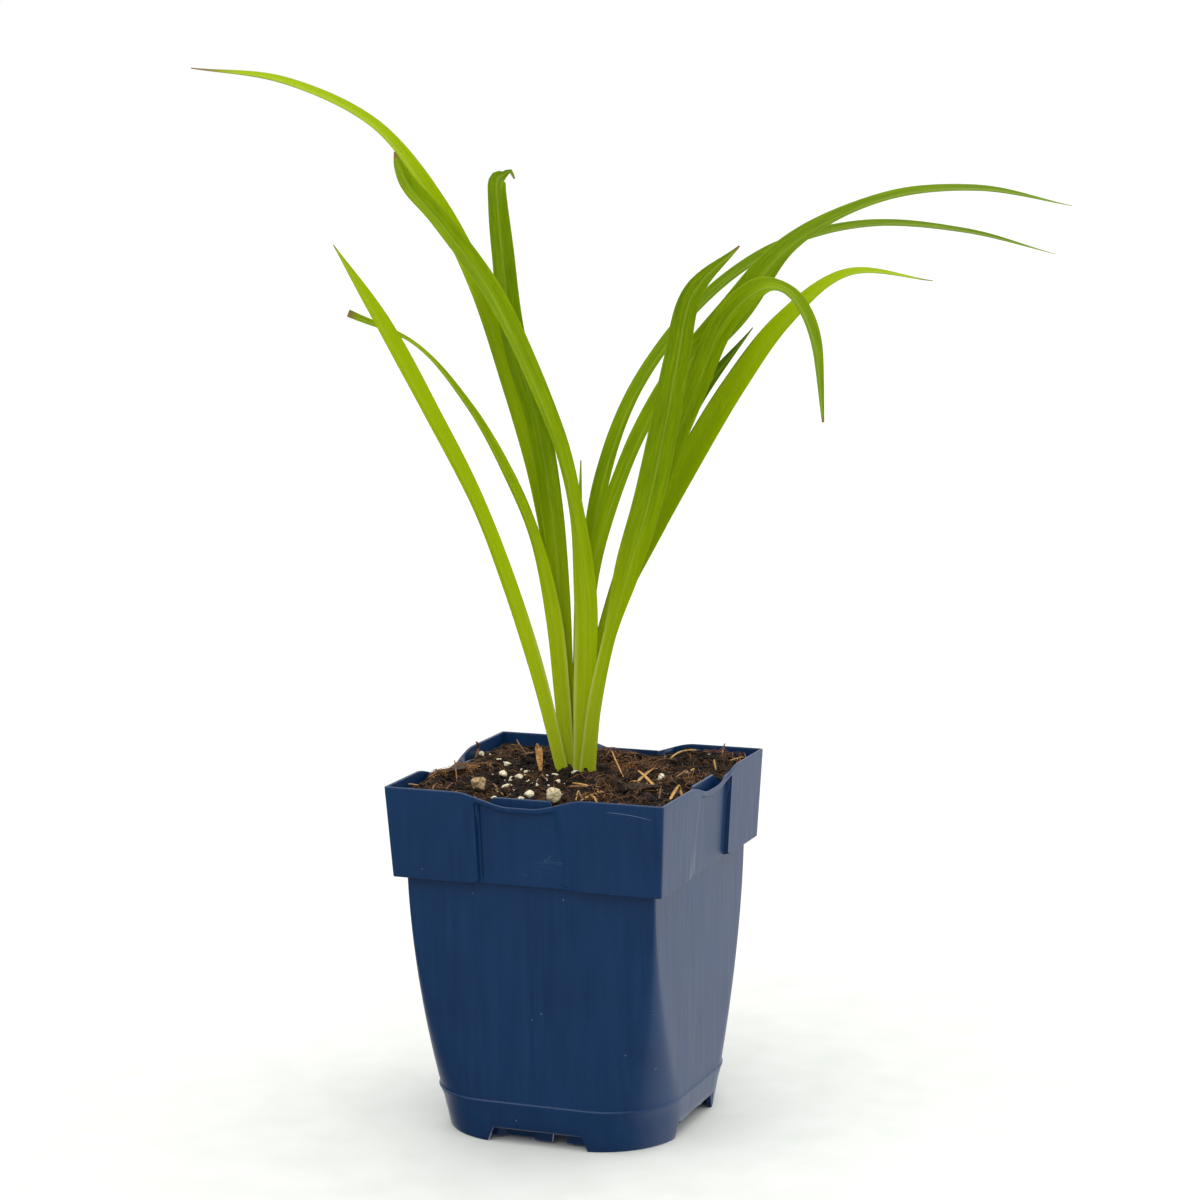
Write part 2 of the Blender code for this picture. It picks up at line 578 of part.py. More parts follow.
def seatOnSoil(points, x, y):
    # Lowest place at which every point of the piece clears the soil under it.
    clear = soilHeight(points[:, 0] + x, points[:, 1] + y) - points[:, 2]
    return points + np.array([x, y, clear.max() + gap + soilSlack])


def makeStone(name, plan, material, seed):
    # A lumpy ball: each latitude ring is scaled by its own small amount.
    x, y, long, wide, tall, turn = plan
    wobble = np.random.default_rng(seed)
    rings, sides = [], 8
    for latitude in np.radians((-68, -34, 0, 34, 68)):
        around = np.arange(sides) * 2 * math.pi / sides + 0.3 * wobble.random()
        swell = 1.0 + 0.14 * (wobble.random(sides) - 0.5)
        swell = swell * math.cos(latitude)
        flat = np.column_stack([long * np.cos(around) * swell, wide * np.sin(around) * swell])
        rings.append(np.column_stack([flat, np.full(sides, tall * math.sin(latitude))]))
    return makeSeated(name, rings, x, y, turn, material)


def makeChip(name, plan, material):
    # A flat splinter, narrower at its ends.
    x, y, long, wide, tall, turn = plan
    outline = ((1.0, 0.0), (0.8, 0.55), (0.1, 1.0), (-0.7, 0.8), (-1.0, 0.1), (-0.75, -0.7), (0.0, -0.85),
               (0.7, -0.5))
    flat = np.array(outline) * (long, wide)
    low = np.column_stack([flat * 0.9, np.full(len(flat), -tall)])
    high = np.column_stack([flat, np.full(len(flat), tall * 0.4)])
    top = np.column_stack([flat * 0.7, np.full(len(flat), tall)])
    return makeSeated(name, [low, high, top], x, y, turn, material)


def makeSeated(name, rings, x, y, turn, material):
    cosine, sine = math.cos(math.radians(turn)), math.sin(math.radians(turn))
    spin = np.array([[cosine, sine, 0], [-sine, cosine, 0], [0, 0, 1]])
    points, faces = loft(rings)
    return makeObject(name, seatOnSoil(points @ spin, x, y), faces, material)


def makeDryStub(material):
    # The dry stump of an old leaf, a strip that widens upwards from the soil beside the clump.
    foot = fanToPot(-11.6, -7.1, 0.0)
    foot[2] = soilHeight(foot[0], foot[1]) + gap
    tip = foot + fanToPot(-0.6, -0.6, 8.4)
    across, deep = fanToPot(1.0, 0.0, 0.0), fanToPot(0.0, 1.0, 0.0)
    rings = []
    for share, wide in ((0.0, 0.5), (0.3, 0.8), (0.72, 1.15), (0.92, 0.9), (1.0, 0.4)):
        centre = foot + (tip - foot) * share
        corners = ((1, 0.0), (0.5, 0.35), (-0.5, 0.35), (-1, 0.0), (-0.5, -0.35), (0.5, -0.35))
        rings.append(np.array([centre + across * wide * a - deep * b for a, b in corners]))
    points, faces = loft(rings)
    return makeObject("dry_leaf_stub", points, faces, material)


def main():
    clearScene()
    potBlue = makeMaterial("moulded_blue_polypropylene", (0.010, 0.040, 0.115), 0.45)
    peat = makeMaterial("dark_peat_mix", (0.020, 0.012, 0.008), 0.95)
    crownFlesh = makeMaterial("pale_crown_flesh", (0.45, 0.42, 0.22), 0.6)
    leafGreen = makeMaterial("fresh_strap_leaf", (0.20, 0.32, 0.010), 0.4)
    pumice = makeMaterial("tan_pumice", (0.32, 0.20, 0.10), 0.9)
    perlite = makeMaterial("cream_perlite", (0.72, 0.66, 0.52), 0.9)
    bark = makeMaterial("weathered_bark", (0.16, 0.09, 0.045), 0.9)
    dryLeaf = makeMaterial("dry_leaf", (0.36, 0.22, 0.09), 0.8)
    makePot(potBlue)
    makeSoil(peat)
    makeCrownSolid("crown_and_roots", crownFlesh, 0.0)
    for name, plan in leafPlan.items():
        makeLeaf(name, plan, leafGreen)
    for seed, (name, plan) in enumerate(stonePlan.items(), 1):
        makeStone(name, plan, pumice if name.startswith("pumice") else perlite, seed)
    for name, plan in barkPlan.items():
        makeChip(name, plan, bark)
    makeDryStub(dryLeaf)


main()
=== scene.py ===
import math

import bpy
import numpy as np
from mathutils import Euler, Matrix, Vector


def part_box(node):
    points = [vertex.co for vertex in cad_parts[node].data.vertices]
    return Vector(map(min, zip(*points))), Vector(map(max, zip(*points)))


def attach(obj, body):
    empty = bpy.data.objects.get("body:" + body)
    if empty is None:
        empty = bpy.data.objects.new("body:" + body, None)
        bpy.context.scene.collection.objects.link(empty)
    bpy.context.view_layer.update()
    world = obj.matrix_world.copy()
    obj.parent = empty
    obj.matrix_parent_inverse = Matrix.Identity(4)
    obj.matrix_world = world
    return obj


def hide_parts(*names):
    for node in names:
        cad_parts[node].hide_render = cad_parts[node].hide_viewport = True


# The looks of a potted daylily. Shapes are worked out in millimetres from the middle of the pot's base and
# become metres, in the frame's own place, when a mesh is made.
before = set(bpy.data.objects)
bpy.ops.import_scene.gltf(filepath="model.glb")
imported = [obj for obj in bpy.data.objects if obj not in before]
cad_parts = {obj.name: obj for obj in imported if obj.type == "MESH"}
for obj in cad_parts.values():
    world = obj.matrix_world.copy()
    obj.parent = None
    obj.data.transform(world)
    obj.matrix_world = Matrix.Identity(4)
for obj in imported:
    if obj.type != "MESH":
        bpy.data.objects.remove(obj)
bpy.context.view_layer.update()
potLow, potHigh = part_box("nursery_pot")
metresPerMm = 0.001
potMiddle = ((potLow.x + potHigh.x) / 2, (potLow.y + potHigh.y) / 2, 0.0)
fanTurn = math.radians(21.85)      # the leaf fan's turn from the pot's front


def hexColour(text):
    # sRGB to linear: c / 12.92 up to 0.04045, and above it ((c + 0.055) / 1.055) to the power 2.4.
    parts = [int(text[k:k + 2], 16) / 255 for k in (1, 3, 5)]
    return (*[c / 12.92 if c <= 0.04045 else ((c + 0.055) / 1.055) ** 2.4 for c in parts], 1.0)


def addNode(tree, kind, settings=None, links=None):
    # Settings are sockets' values, properties or a ramp's stops; a link may name a node or one of its outputs.
    node = tree.nodes.new(kind)
    for key, value in (settings or {}).items():
        if key == "ramp":
            stops = node.color_ramp.elements
            while len(stops) < len(value):
                stops.new(0.5)
            for stop, (place, colour) in zip(stops, value):
                stop.position = place
                stop.color = hexColour(colour) if isinstance(colour, str) else (colour, colour, colour, 1.0)
        elif isinstance(key, int) or key in node.inputs:
            node.inputs[key].default_value = hexColour(value) if isinstance(value, str) else value
        else:
            setattr(node, key, value)
    for socket, source in (links or {}).items():
        tree.links.new(source.outputs[0] if hasattr(source, "outputs") else source, node.inputs[socket])
    return node


def newMaterial(name, **shaderSettings):
    material = bpy.data.materials.new(name)
    material.use_nodes = True
    tree = material.node_tree
    shader = tree.nodes["Principled BSDF"]
    for socket, value in shaderSettings.items():
        shader.inputs[socket.replace("_", " ")].default_value = value
    return material, tree, shader


def smoothStep(value, start, end):
    # 0 before start and 1 after end, with 3 t t - 2 t t t between them.
    t = np.clip((np.asarray(value, float) - start) / (end - start), 0.0, 1.0)
    return t * t * (3.0 - 2.0 * t)


def valueNoise(points, size, seed):
    # From -1 to 1: a scrambled number at each corner of cells `size` mm wide, blended smoothly between corners.
    place = np.asarray(points, float) / size + 1000.0
    cell = np.floor(place).astype(np.int64)
    t = place - cell
    t = t * t * (3.0 - 2.0 * t)
    total = np.zeros(place.shape[:-1])
    for corner in range(8):
        step = np.array([corner & 1, corner >> 1 & 1, corner >> 2 & 1])
        key = (cell + step) * np.array([73856093, 19349663, 83492791])
        mixed = (key[..., 0] ^ key[..., 1] ^ key[..., 2] ^ (seed * 2654435761)) & 0xFFFFFFFF
        mixed = ((mixed ^ (mixed >> 15)) * 2246822519) & 0xFFFFFFFF
        mixed = ((mixed ^ (mixed >> 13)) * 3266489917) & 0xFFFFFFFF
        weight = np.prod(np.where(step == 1, t, 1.0 - t), axis=-1)
        total += weight * ((mixed >> 16) / 32767.5 - 1.0)
    return total


def unit(vectors):
    return vectors / np.maximum(np.linalg.norm(vectors, axis=-1, keepdims=True), 1e-9)


def fanToPot(across, depth, height):
    # The fan's own directions: across it to the right, depth towards its front.
    x = across * np.cos(fanTurn) + depth * np.sin(fanTurn)
    y = across * np.sin(fanTurn) - depth * np.cos(fanTurn)
    return np.stack(np.broadcast_arrays(x, y, height), axis=-1)


def gridFaces(rows, columns, wrap=True):
    # Quads of a grid of points; rows that run anticlockwise seen from their far end face outwards.
    row, column = np.meshgrid(np.arange(rows - 1), np.arange(columns if wrap else columns - 1), indexing="ij")
    ahead = (column + 1) % columns
    low, high = row * columns, (row + 1) * columns
    return np.stack([low + column, low + ahead, high + ahead, high + column], axis=-1).reshape(-1, 4)


def closedLoft(rings):
    # Rings (rows, columns, 3) with a point in the middle of the first and the last one to close them.
    rows, columns = rings.shape[:2]
    points = np.concatenate([rings.reshape(-1, 3), rings[0].mean(axis=0)[None], rings[-1].mean(axis=0)[None]])
    column = np.arange(columns)
    ahead = (column + 1) % columns
    first, last = rows * columns, rows * columns + 1
    top = (rows - 1) * columns
    foot = np.stack([np.full(columns, first), ahead, column], axis=-1)
    head = np.stack([np.full(columns, last), top + column, top + ahead], axis=-1)
    return points, gridFaces(rows, columns), np.concatenate([foot, head])


def makePiece(name, points, quads, triangles, material, slot, nodes=(), fields=None, sharpAngle=None):
    # One mesh from arrays: points in mm, quads and triangles as rows of point numbers, fields as point values.
    mesh = bpy.data.meshes.new(name)
    quads = np.asarray(quads, np.int32).reshape(-1, 4)
    triangles = np.asarray(triangles, np.int32).reshape(-1, 3)
    corners = np.concatenate([quads.ravel(), triangles.ravel()])
    starts = np.concatenate([np.arange(len(quads)) * 4, quads.size + np.arange(len(triangles)) * 3])
    mesh.vertices.add(len(points))
    mesh.vertices.foreach_set("co", (np.asarray(points) * metresPerMm + potMiddle).ravel())
    mesh.loops.add(len(corners))
    mesh.loops.foreach_set("vertex_index", corners)
    mesh.polygons.add(len(starts))
    mesh.polygons.foreach_set("loop_start", starts)
    mesh.update(calc_edges=True)
    mesh.validate()
    for field, values in (fields or {}).items():
        attribute = mesh.attributes.new(field, "FLOAT", "POINT")
        attribute.data.foreach_set("value", np.asarray(values, np.float32).ravel())
    if sharpAngle is None or sharpAngle > 0:
        mesh.shade_smooth()
    if sharpAngle:
        mesh.set_sharp_from_angle(angle=math.radians(sharpAngle))
    mesh.materials.append(material)
    piece = bpy.data.objects.new(name, mesh)
    bpy.context.scene.collection.objects.link(piece)
    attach(piece, "root")
    if nodes:
        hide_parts(*nodes)
    return piece


# Camera: the photograph's own view, from the fit of the pot's rim, collar and base.
view = dict(focal=3260.0, image=1200.0, pitch=8.98, roll=-0.718, place=(7.38, 984.6, 317.6), soilPlane=107.2,
            pixelsPerMm=3.25)
cameraData = bpy.data.cameras.new("camera")
cameraData.sensor_width = 36.0
cameraData.lens = view["focal"] / view["image"] * cameraData.sensor_width
camera = bpy.data.objects.new("camera", cameraData)
bpy.context.scene.collection.objects.link(camera)
viewTurn = Euler((math.radians(90.0 - view["pitch"]), 0.0, fanTurn)).to_matrix()
viewTurn = viewTurn @ Matrix.Rotation(math.radians(view["roll"]), 3, "Z")
cameraMm = fanToPot(*view["place"])
camera.matrix_world = Matrix.Translation(cameraMm * metresPerMm + potMiddle) @ viewTurn.to_4x4()
bpy.context.scene.camera = camera
print("camera placed")


def onSoilPlane(pixels):
    # Where the sight lines through pixels of the photograph meet the soil's level, in mm.
    pixels = np.asarray(pixels, float)
    half = view["image"] / 2
    rays = np.stack([pixels[..., 0] - half, half - pixels[..., 1], np.full(pixels.shape[:-1], -view["focal"])], -1)
    rays = rays @ np.array(viewTurn).T
    reach = (view["soilPlane"] - cameraMm[2]) / rays[..., 2]
    return cameraMm[:2] + rays[..., :2] * reach[..., None]


# Pot: a thin moulded shell, as rings of columns. A face's stops run in mm at the rim from its sharp-edged
# corner to its soft corner, closest together where the skirt ends and where the lip dips.
pot = dict(
    height=110.0, rimHalf=45.0, collarDrop=28.0, collarHalf=43.4, bodyTopHalf=40.2, bodyLowHalf=38.9,
    ringHeight=13.5, ringHalf=39.3, footHalf=37.2, rimRadius=1.0, footRadius=24.5, cornerGrowth=30.0,
    cornerPower=1.85, cornerLeast=0.15, wall=0.9, recess=1.5,
    lipDip=3.7, tabDrop=1.9, tabInset=3.1, pocketDepth=8.0, beadHeight=1.7, beadBack=0.35, notchHeight=4.5,
    floorUnder=5.8, floorTop=7.0, innerHalf=34.0, innerFoot=0.9, innerRadius=20.6, innerStep=2.0,
    footWall=1.3, skirtEdge=-15.35, skirtCorner=1.9, groove=0.4, drainWidths=(5.4, 3.2), drainReach=(26.0, 35.0),
    drainOffset=6.2, bodyStep=2.5, cornerColumns=18)
shoulder = pot["height"] - pot["collarDrop"]
faceStops = np.concatenate([
    np.linspace(-42.5, -25.0, 10), np.arange(-24.2, -16.7, 0.7), np.arange(-16.4, -13.3, 0.14),
    np.arange(-13.0, -9.0, 0.4), np.linspace(-8.2, 0.0, 10), np.arange(0.8, 18.3, 0.7),
    np.linspace(19.5, 42.5, 14)])
faceNormals = np.array([(0, -1), (1, 0), (0, 1), (-1, 0)], float)
faceAlongs = np.array([(1, 0), (0, 1), (-1, 0), (0, -1)], float)


def potColumns():
    # Face, place along it from -1 to 1, corner angle and stop of every column, once round the pot.
    straight = pot["rimHalf"] - pot["rimRadius"]
    angles = np.radians(np.linspace(4.0, 86.0, pot["cornerColumns"]))
    table = []
    for face in range(4):
        line = -faceStops[::-1] if face % 2 else faceStops
        stops = -line if face % 2 else line
        flat = np.stack([np.full(len(line), face), line / straight, np.zeros(len(line)), stops])
        bend = np.stack([np.full(len(angles), face), np.ones(len(angles)), angles, np.full(len(angles), np.inf)])
        table += [flat, bend]
    face, place, angle, stop = np.concatenate(table, axis=1)
    return face.astype(int), place, angle, stop


columnFace, columnPlace, columnAngle, columnStop = potColumns()
onCorner = np.isinf(columnStop)
columnCount = len(columnFace)
softStop = np.where(onCorner, pot["rimHalf"], columnStop)
# The corner before a face starts at its first stop, so an even face's corner columns end in a sharp skirt and an
# odd face's in a soft one: both lie in full skirt, where the masks below are 1 anyway.
dip = smoothStep(softStop, -22.0, -4.5) * (1.0 - smoothStep(softStop, 2.5, 20.5))
pocket = smoothStep(softStop, -12.4, -11.0) * (1.0 - smoothStep(softStop, 7.4, 9.0))
soilPocket = smoothStep(softStop, -13.2, -12.3) * (1.0 - smoothStep(softStop, 8.9, 10.2))
footMask = np.where(onCorner, smoothStep(columnAngle, 0.125, 0.145) * smoothStep(columnAngle, 1.446, 1.426), 0.0)


def potRing(half, radius, inset, height):
    # A rounded square: each column lies radius - inset from the line or corner centre that carries it.
    radius = np.broadcast_to(np.asarray(radius, float), columnFace.shape)
    radius = np.where(onCorner, np.maximum(radius, inset + pot["cornerLeast"]), radius)
    normals, alongs = faceNormals[columnFace], faceAlongs[columnFace]
    straight = (half - radius)[:, None]
    middle = normals * straight + alongs * straight * columnPlace[:, None]
    outward = normals * np.cos(columnAngle)[:, None] + alongs * np.sin(columnAngle)[:, None]
    flat = middle + np.where(onCorner[:, None], outward, normals) * (radius - inset)[:, None]
    return np.column_stack([flat, np.broadcast_to(np.asarray(height, float), columnFace.shape)])


def bodyHalf(height):
    t = (height - pot["ringHeight"]) / (shoulder - pot["ringHeight"])
    return pot["bodyLowHalf"] + (pot["bodyTopHalf"] - pot["bodyLowHalf"]) * t


def cornerRadius(height):
    # The rim's at the shoulder, growing with a power of the way down until it is the foot's.
    t = np.clip((shoulder - height) / shoulder, 0.0, 1.0)
    return np.minimum(pot["rimRadius"] + pot["cornerGrowth"] * t ** pot["cornerPower"], pot["footRadius"])


def collarFace(height):
    return pot["collarHalf"] + (pot["rimHalf"] - pot["collarHalf"]) * (height - shoulder) / pot["collarDrop"]


def panelInset(height):
    # How far the collar lies behind its skirts: a sharp step with a rounded lower corner and a groove beside it
    # at one end, and at the other a slope that widens on its way down, with a faint step along it.
    rise = np.broadcast_to(np.asarray(height, float), softStop.shape) - shoulder
    corner = pot["skirtCorner"]
    below = np.clip(corner - rise, 0.0, corner)
    edge = pot["skirtEdge"] - corner + np.sqrt(corner ** 2 - below ** 2)
    sharp = 1.0 - smoothStep(softStop, edge - 0.2, edge + 0.1)
    fall = np.clip(1.0 - rise / (pot["collarDrop"] - pot["lipDip"]), 0.0, 1.0)
    soft = 0.9 * smoothStep(softStop, 8.4 + 3.2 * fall, 12.4 + 8.0 * fall)
    soft = soft + 0.1 * smoothStep(softStop, 9.3 + 4.6 * fall, 9.9 + 5.2 * fall)
    groove = pot["groove"] * np.exp(-((softStop - edge - 0.62) / 0.3) ** 2) * smoothStep(rise, 0.6, 2.6)
    return pot["recess"] * (1.0 - np.clip(sharp + soft, 0.0, 1.0)) + groove


def softened(stations):
    # A ring with a fillet becomes a short quadratic curve between points `fillet` mm away on both its lines.
    rings = []
    for index, (ring, fillet) in enumerate(stations):
        if fillet == 0:
            rings.append(ring)
            continue
        ends = []
        for other in (stations[index - 1][0], stations[index + 1][0]):
            line = other - ring
            length = np.maximum(np.linalg.norm(line, axis=1, keepdims=True), 1e-6)
            ends.append(ring + line * np.minimum(fillet / length, 0.45))
        for t in (0.0, 0.3, 0.7, 1.0):
            rings.append((1 - t) ** 2 * ends[0] + 2 * t * (1 - t) * ring + t * t * ends[1])
    return np.array(rings)


def potStations():
    # Down the inner skirt under the floor, up the outside, over the lip and the label slot, and down the inside.
    size, radius = pot, pot["rimRadius"]
    footEdge = size["notchHeight"] * (1.0 - footMask)
    stepped = size["innerStep"] * (1.0 - smoothStep(columnStop, -8.3, -7.9)) * ~onCorner
    lipTop = size["height"] - size["lipDip"] * dip
    inner, innerRound = size["innerHalf"], size["innerRadius"]
    stations = [
        (potRing(inner - 0.9, innerRound, stepped, size["floorUnder"]), 0),
        (potRing(inner - 0.9, innerRound, stepped, size["innerFoot"]), 0.15),
        (potRing(inner, innerRound + 0.9, stepped, size["innerFoot"]), 0.25),
        (potRing(inner, innerRound + 0.9, stepped, size["floorUnder"]), 0.4),
        (potRing(size["footHalf"], size["footRadius"], size["footWall"], size["floorUnder"]), 0.4),
        (potRing(size["footHalf"], size["footRadius"], size["footWall"] - 0.1, footEdge), 0.25),
        (potRing(size["footHalf"], size["footRadius"], 0.0, footEdge), 0.35),
    ]
    for share in (0.12, 0.3, 0.5, 0.7, 0.88):
        height = footEdge + (size["ringHeight"] - footEdge) * share
        grow = size["footHalf"] + (size["ringHalf"] - size["footHalf"]) * height / size["ringHeight"]
        stations.append((potRing(grow, cornerRadius(height), 0.0, height), 0))
    stations += [
        (potRing(size["ringHalf"], cornerRadius(size["ringHeight"]), 0.0, size["ringHeight"] - 0.3), 0.15),
        (potRing(size["bodyLowHalf"] + 0.02, cornerRadius(size["ringHeight"]), 0.0, size["ringHeight"]), 0.15),
    ]
    for height in np.arange(size["ringHeight"] + 0.8, shoulder - 1.0, size["bodyStep"]):
        stations.append((potRing(bodyHalf(height), cornerRadius(height), 0.0, height), 0))
    stations += [
        (potRing(bodyHalf(shoulder), radius, 0.0, shoulder - 0.05), 0.5),
        (potRing(size["collarHalf"], radius, panelInset(shoulder), shoulder), 0.3),
    ]
    for rise in (0.4, 0.7, 1.0, 1.3, 1.65, 2.0, 2.6, 4.0, 6.5, 9.5, 12.5, 15.5):
        stations.append((potRing(collarFace(shoulder + rise), radius, panelInset(shoulder + rise), shoulder + rise), 0))
    upperStart = shoulder + 15.5
    under = lipTop - size["beadHeight"]
    for share in (0.3, 0.6, 0.85):
        height = upperStart + (under - 0.5 - upperStart) * share
        stations.append((potRing(collarFace(height), radius, panelInset(height), height), 0))
    bead = size["beadBack"] * smoothStep(softStop, -15.0, -11.0) * (1.0 - smoothStep(softStop, 6.0, 10.5))
    stations += [
        (potRing(collarFace(under), radius, panelInset(under), under - 0.25), 0.2),
        (potRing(collarFace(under), radius, bead, under + 0.15), 0.3),
        (potRing(size["rimHalf"], radius, bead, lipTop - 0.02), 0.4),
        (potRing(size["rimHalf"], radius, bead + size["wall"], lipTop), 0.4),
    ]
    inset = panelInset(size["height"] - 8.0)
    slotFloor, tabTop = size["height"] - size["pocketDepth"], size["height"] - size["tabDrop"]
    slotIn = pocket * (size["tabInset"] - size["wall"])
    tabIn = pocket * size["tabInset"]
    stops = ((0.0, slotFloor), (slotIn, slotFloor), (slotIn + 0.0, tabTop), (tabIn, tabTop),
             (tabIn, slotFloor - size["wall"]), (0.0, slotFloor - 2.0 * size["wall"]))
    outside = np.maximum(bead, inset * smoothStep(softStop, -15.2, -14.0)) + size["wall"]
    for step, (further, height) in enumerate(stops):
        level = pocket * height + (1.0 - pocket) * (lipTop - 1.0 - 0.9 * step)
        fillet = 0.35 if step in (2, 3) else 0.15
        stations.append((potRing(size["rimHalf"], radius, outside + (step + 1) * 0.01 + further, level), fillet))
    for height in (97.0, 92.0, 87.0):
        stations.append((potRing(collarFace(height), radius, inset + size["wall"], height), 0))
    stations += [
        (potRing(collarFace(84.2), radius, inset + size["wall"], shoulder + 1.0), 0.3),
        (potRing(bodyHalf(shoulder), radius, size["wall"], shoulder + 1.0), 0.3),
    ]
    for height in (78.0, 70.0, 60.0, 50.0, 40.0, 30.0, 20.0, size["ringHeight"]):
        stations.append((potRing(bodyHalf(height), cornerRadius(height), size["wall"], height), 0))
    stations += [
        (potRing(size["ringHalf"], cornerRadius(10.0), size["footWall"] + 0.3, size["floorTop"]), 0.5),
        (potRing(20.0, 12.0, 0.0, size["floorTop"]), 0),
        (potRing(8.0, 6.0, 0.0, size["floorTop"]), 0),
    ]
    return stations


def drainBlocks():
    # Four tapered blocks, one under each face, as points and quads.
    points, quads = [], []
    for face in range(4):
        side = pot["drainOffset"] * (-1 if face % 2 else 1)
        first = len(points)
        for height, width in zip((-1.0, pot["floorTop"] + 1.0), pot["drainWidths"]):
            for out, step in ((0, -1), (1, -1), (1, 1), (0, 1)):
                flat = faceNormals[face] * pot["drainReach"][out] + faceAlongs[face] * (side + step * width / 2)
                points.append((*flat, height))
        quads += [[first + k, first + (k + 1) % 4, first + (k + 1) % 4 + 4, first + k + 4] for k in range(4)]
        quads += [[first + k for k in (3, 2, 1, 0)], [first + k for k in (4, 5, 6, 7)]]
    return points, quads


def cutThrough(piece, points, quads):
    # Boolean difference with a helper mesh, applied, so that nothing live is left on the piece.
    helperMesh = bpy.data.meshes.new("drain_helper")
    helperMesh.from_pydata((np.array(points) * metresPerMm + potMiddle).tolist(), [], quads)
    helper = bpy.data.objects.new("drain_helper", helperMesh)
    bpy.context.scene.collection.objects.link(helper)
    modifier = piece.modifiers.new("drain", "BOOLEAN")
    modifier.operation, modifier.solver, modifier.object = "DIFFERENCE", "EXACT", helper
    evaluated = piece.evaluated_get(bpy.context.evaluated_depsgraph_get())
    cut = bpy.data.meshes.new_from_object(evaluated)
    piece.modifiers.clear()
    piece.data = cut
    bpy.data.objects.remove(helper)


# Moulded polypropylene: deep navy pigment right through, satin, with faint flow streaks drawn up the mould,
# fine handling scratches, dust and one painted highlight, a pale line under the front rim along the lip's
# parting line.
plastic = dict(
    colour="#03335f", deep="#032a52", roughness=0.38, gloss=0.44, streakMm=1.6, grainMm=0.45, dustMm=7.0, dustSize=0.16,
    lipHighlightFrom=(26.3, 107.2), lipHighlightTo=(42.0, 105.6), lipHighlightWidth=0.11, bumpMm=0.02)


def makePlastic():
    material, tree, shader = newMaterial("polypropylene_moulded_navy", Roughness=plastic["roughness"], IOR=1.46,
                                         Specular_IOR_Level=plastic["gloss"])
    place = addNode(tree, "ShaderNodeTexCoord").outputs["Object"]
    stretched = addNode(tree, "ShaderNodeMapping", {"Scale": (1.0, 1.0, 0.06)}, {"Vector": place})
    streaks = addNode(tree, "ShaderNodeTexNoise", {"Scale": 1000.0 / plastic["streakMm"], "Detail": 3.0},
                      {"Vector": stretched})
    clouds = addNode(tree, "ShaderNodeTexNoise", {"Scale": 45.0, "Detail": 2.0}, {"Vector": place})
    both = addNode(tree, "ShaderNodeMath", {"operation": "ADD"}, {0: streaks.outputs[0], 1: clouds.outputs[0]})
    tone = addNode(tree, "ShaderNodeMapRange", {"From Min": 0.6, "From Max": 1.4}, {"Value": both})
    blue = addNode(tree, "ShaderNodeMix", {"data_type": "RGBA", 6: plastic["deep"], 7: plastic["colour"]},
                   {0: tone})
    dustCells = addNode(tree, "ShaderNodeTexVoronoi", {"Scale": 1000.0 / plastic["dustMm"]}, {"Vector": place})
    dust = addNode(tree, "ShaderNodeMapRange", {
        "From Min": plastic["dustSize"] / plastic["dustMm"] * 1.4, "From Max": plastic["dustSize"] / plastic["dustMm"],
        "To Min": 0.0, "To Max": 0.45}, {"Value": dustCells.outputs["Distance"]})
    # Fine scratches: the thin band where a stretched noise crosses its middle, kept to a few patches.
    askew = addNode(tree, "ShaderNodeMapping", {"Scale": (60.0, 60.0, 420.0), "Rotation": (0.3, 0.5, 0.2)},
                    {"Vector": place})
    lines = addNode(tree, "ShaderNodeTexNoise", {"Scale": 1.0, "Detail": 1.0}, {"Vector": askew})
    offMiddle = addNode(tree, "ShaderNodeMath", {"operation": "SUBTRACT", 1: 0.5}, {0: lines.outputs[0]})
    awayFrom = addNode(tree, "ShaderNodeMath", {"operation": "ABSOLUTE"}, {0: offMiddle})
    thin = addNode(tree, "ShaderNodeMapRange", {"From Min": 0.006, "From Max": 0.0}, {"Value": awayFrom})
    patches = addNode(tree, "ShaderNodeMapRange", {"From Min": 0.66, "From Max": 0.78, "To Max": 0.3},
                      {"Value": clouds.outputs[0]})
    scratches = addNode(tree, "ShaderNodeMath", {"operation": "MULTIPLY"}, {0: thin, 1: patches})
    # A painted highlight: a pale line under the front rim, where the lip's parting line catches the light.
    lipHighlight = lipHighlightMask(tree, place)
    # Dust, scratches and the painted highlight all take the same pale colour.
    dustScratchesAndHighlight = addNode(tree, "ShaderNodeMath", {"operation": "MAXIMUM"}, {0: dust, 1: scratches})
    dustScratchesAndHighlight = addNode(tree, "ShaderNodeMath", {"operation": "MAXIMUM", "use_clamp": True}, {0: dustScratchesAndHighlight, 1: lipHighlight})
    addNode(tree, "ShaderNodeMix", {"data_type": "RGBA", 7: "#aab4c8"}, {0: dustScratchesAndHighlight, 6: blue.outputs[2]})
    tree.links.new(tree.nodes[-1].outputs[2], shader.inputs["Base Color"])
    rough = addNode(tree, "ShaderNodeMapRange", {"From Min": 0.3, "From Max": 0.7, "To Min": 0.35, "To Max": 0.43},
                    {"Value": streaks.outputs[0]})
    tree.links.new(rough.outputs[0], shader.inputs["Roughness"])
    grain = addNode(tree, "ShaderNodeTexNoise", {"Scale": 1000.0 / plastic["grainMm"], "Detail": 2.0},
                    {"Vector": place})
    height = addNode(tree, "ShaderNodeMath", {"operation": "MULTIPLY_ADD", 1: 0.3},
                     {0: streaks.outputs[0], 2: grain.outputs[0]})
    bump = addNode(tree, "ShaderNodeBump", {"Strength": 0.5, "Distance": plastic["bumpMm"] * metresPerMm},
                   {"Height": height})
    tree.links.new(bump.outputs[0], shader.inputs["Normal"])
    return material


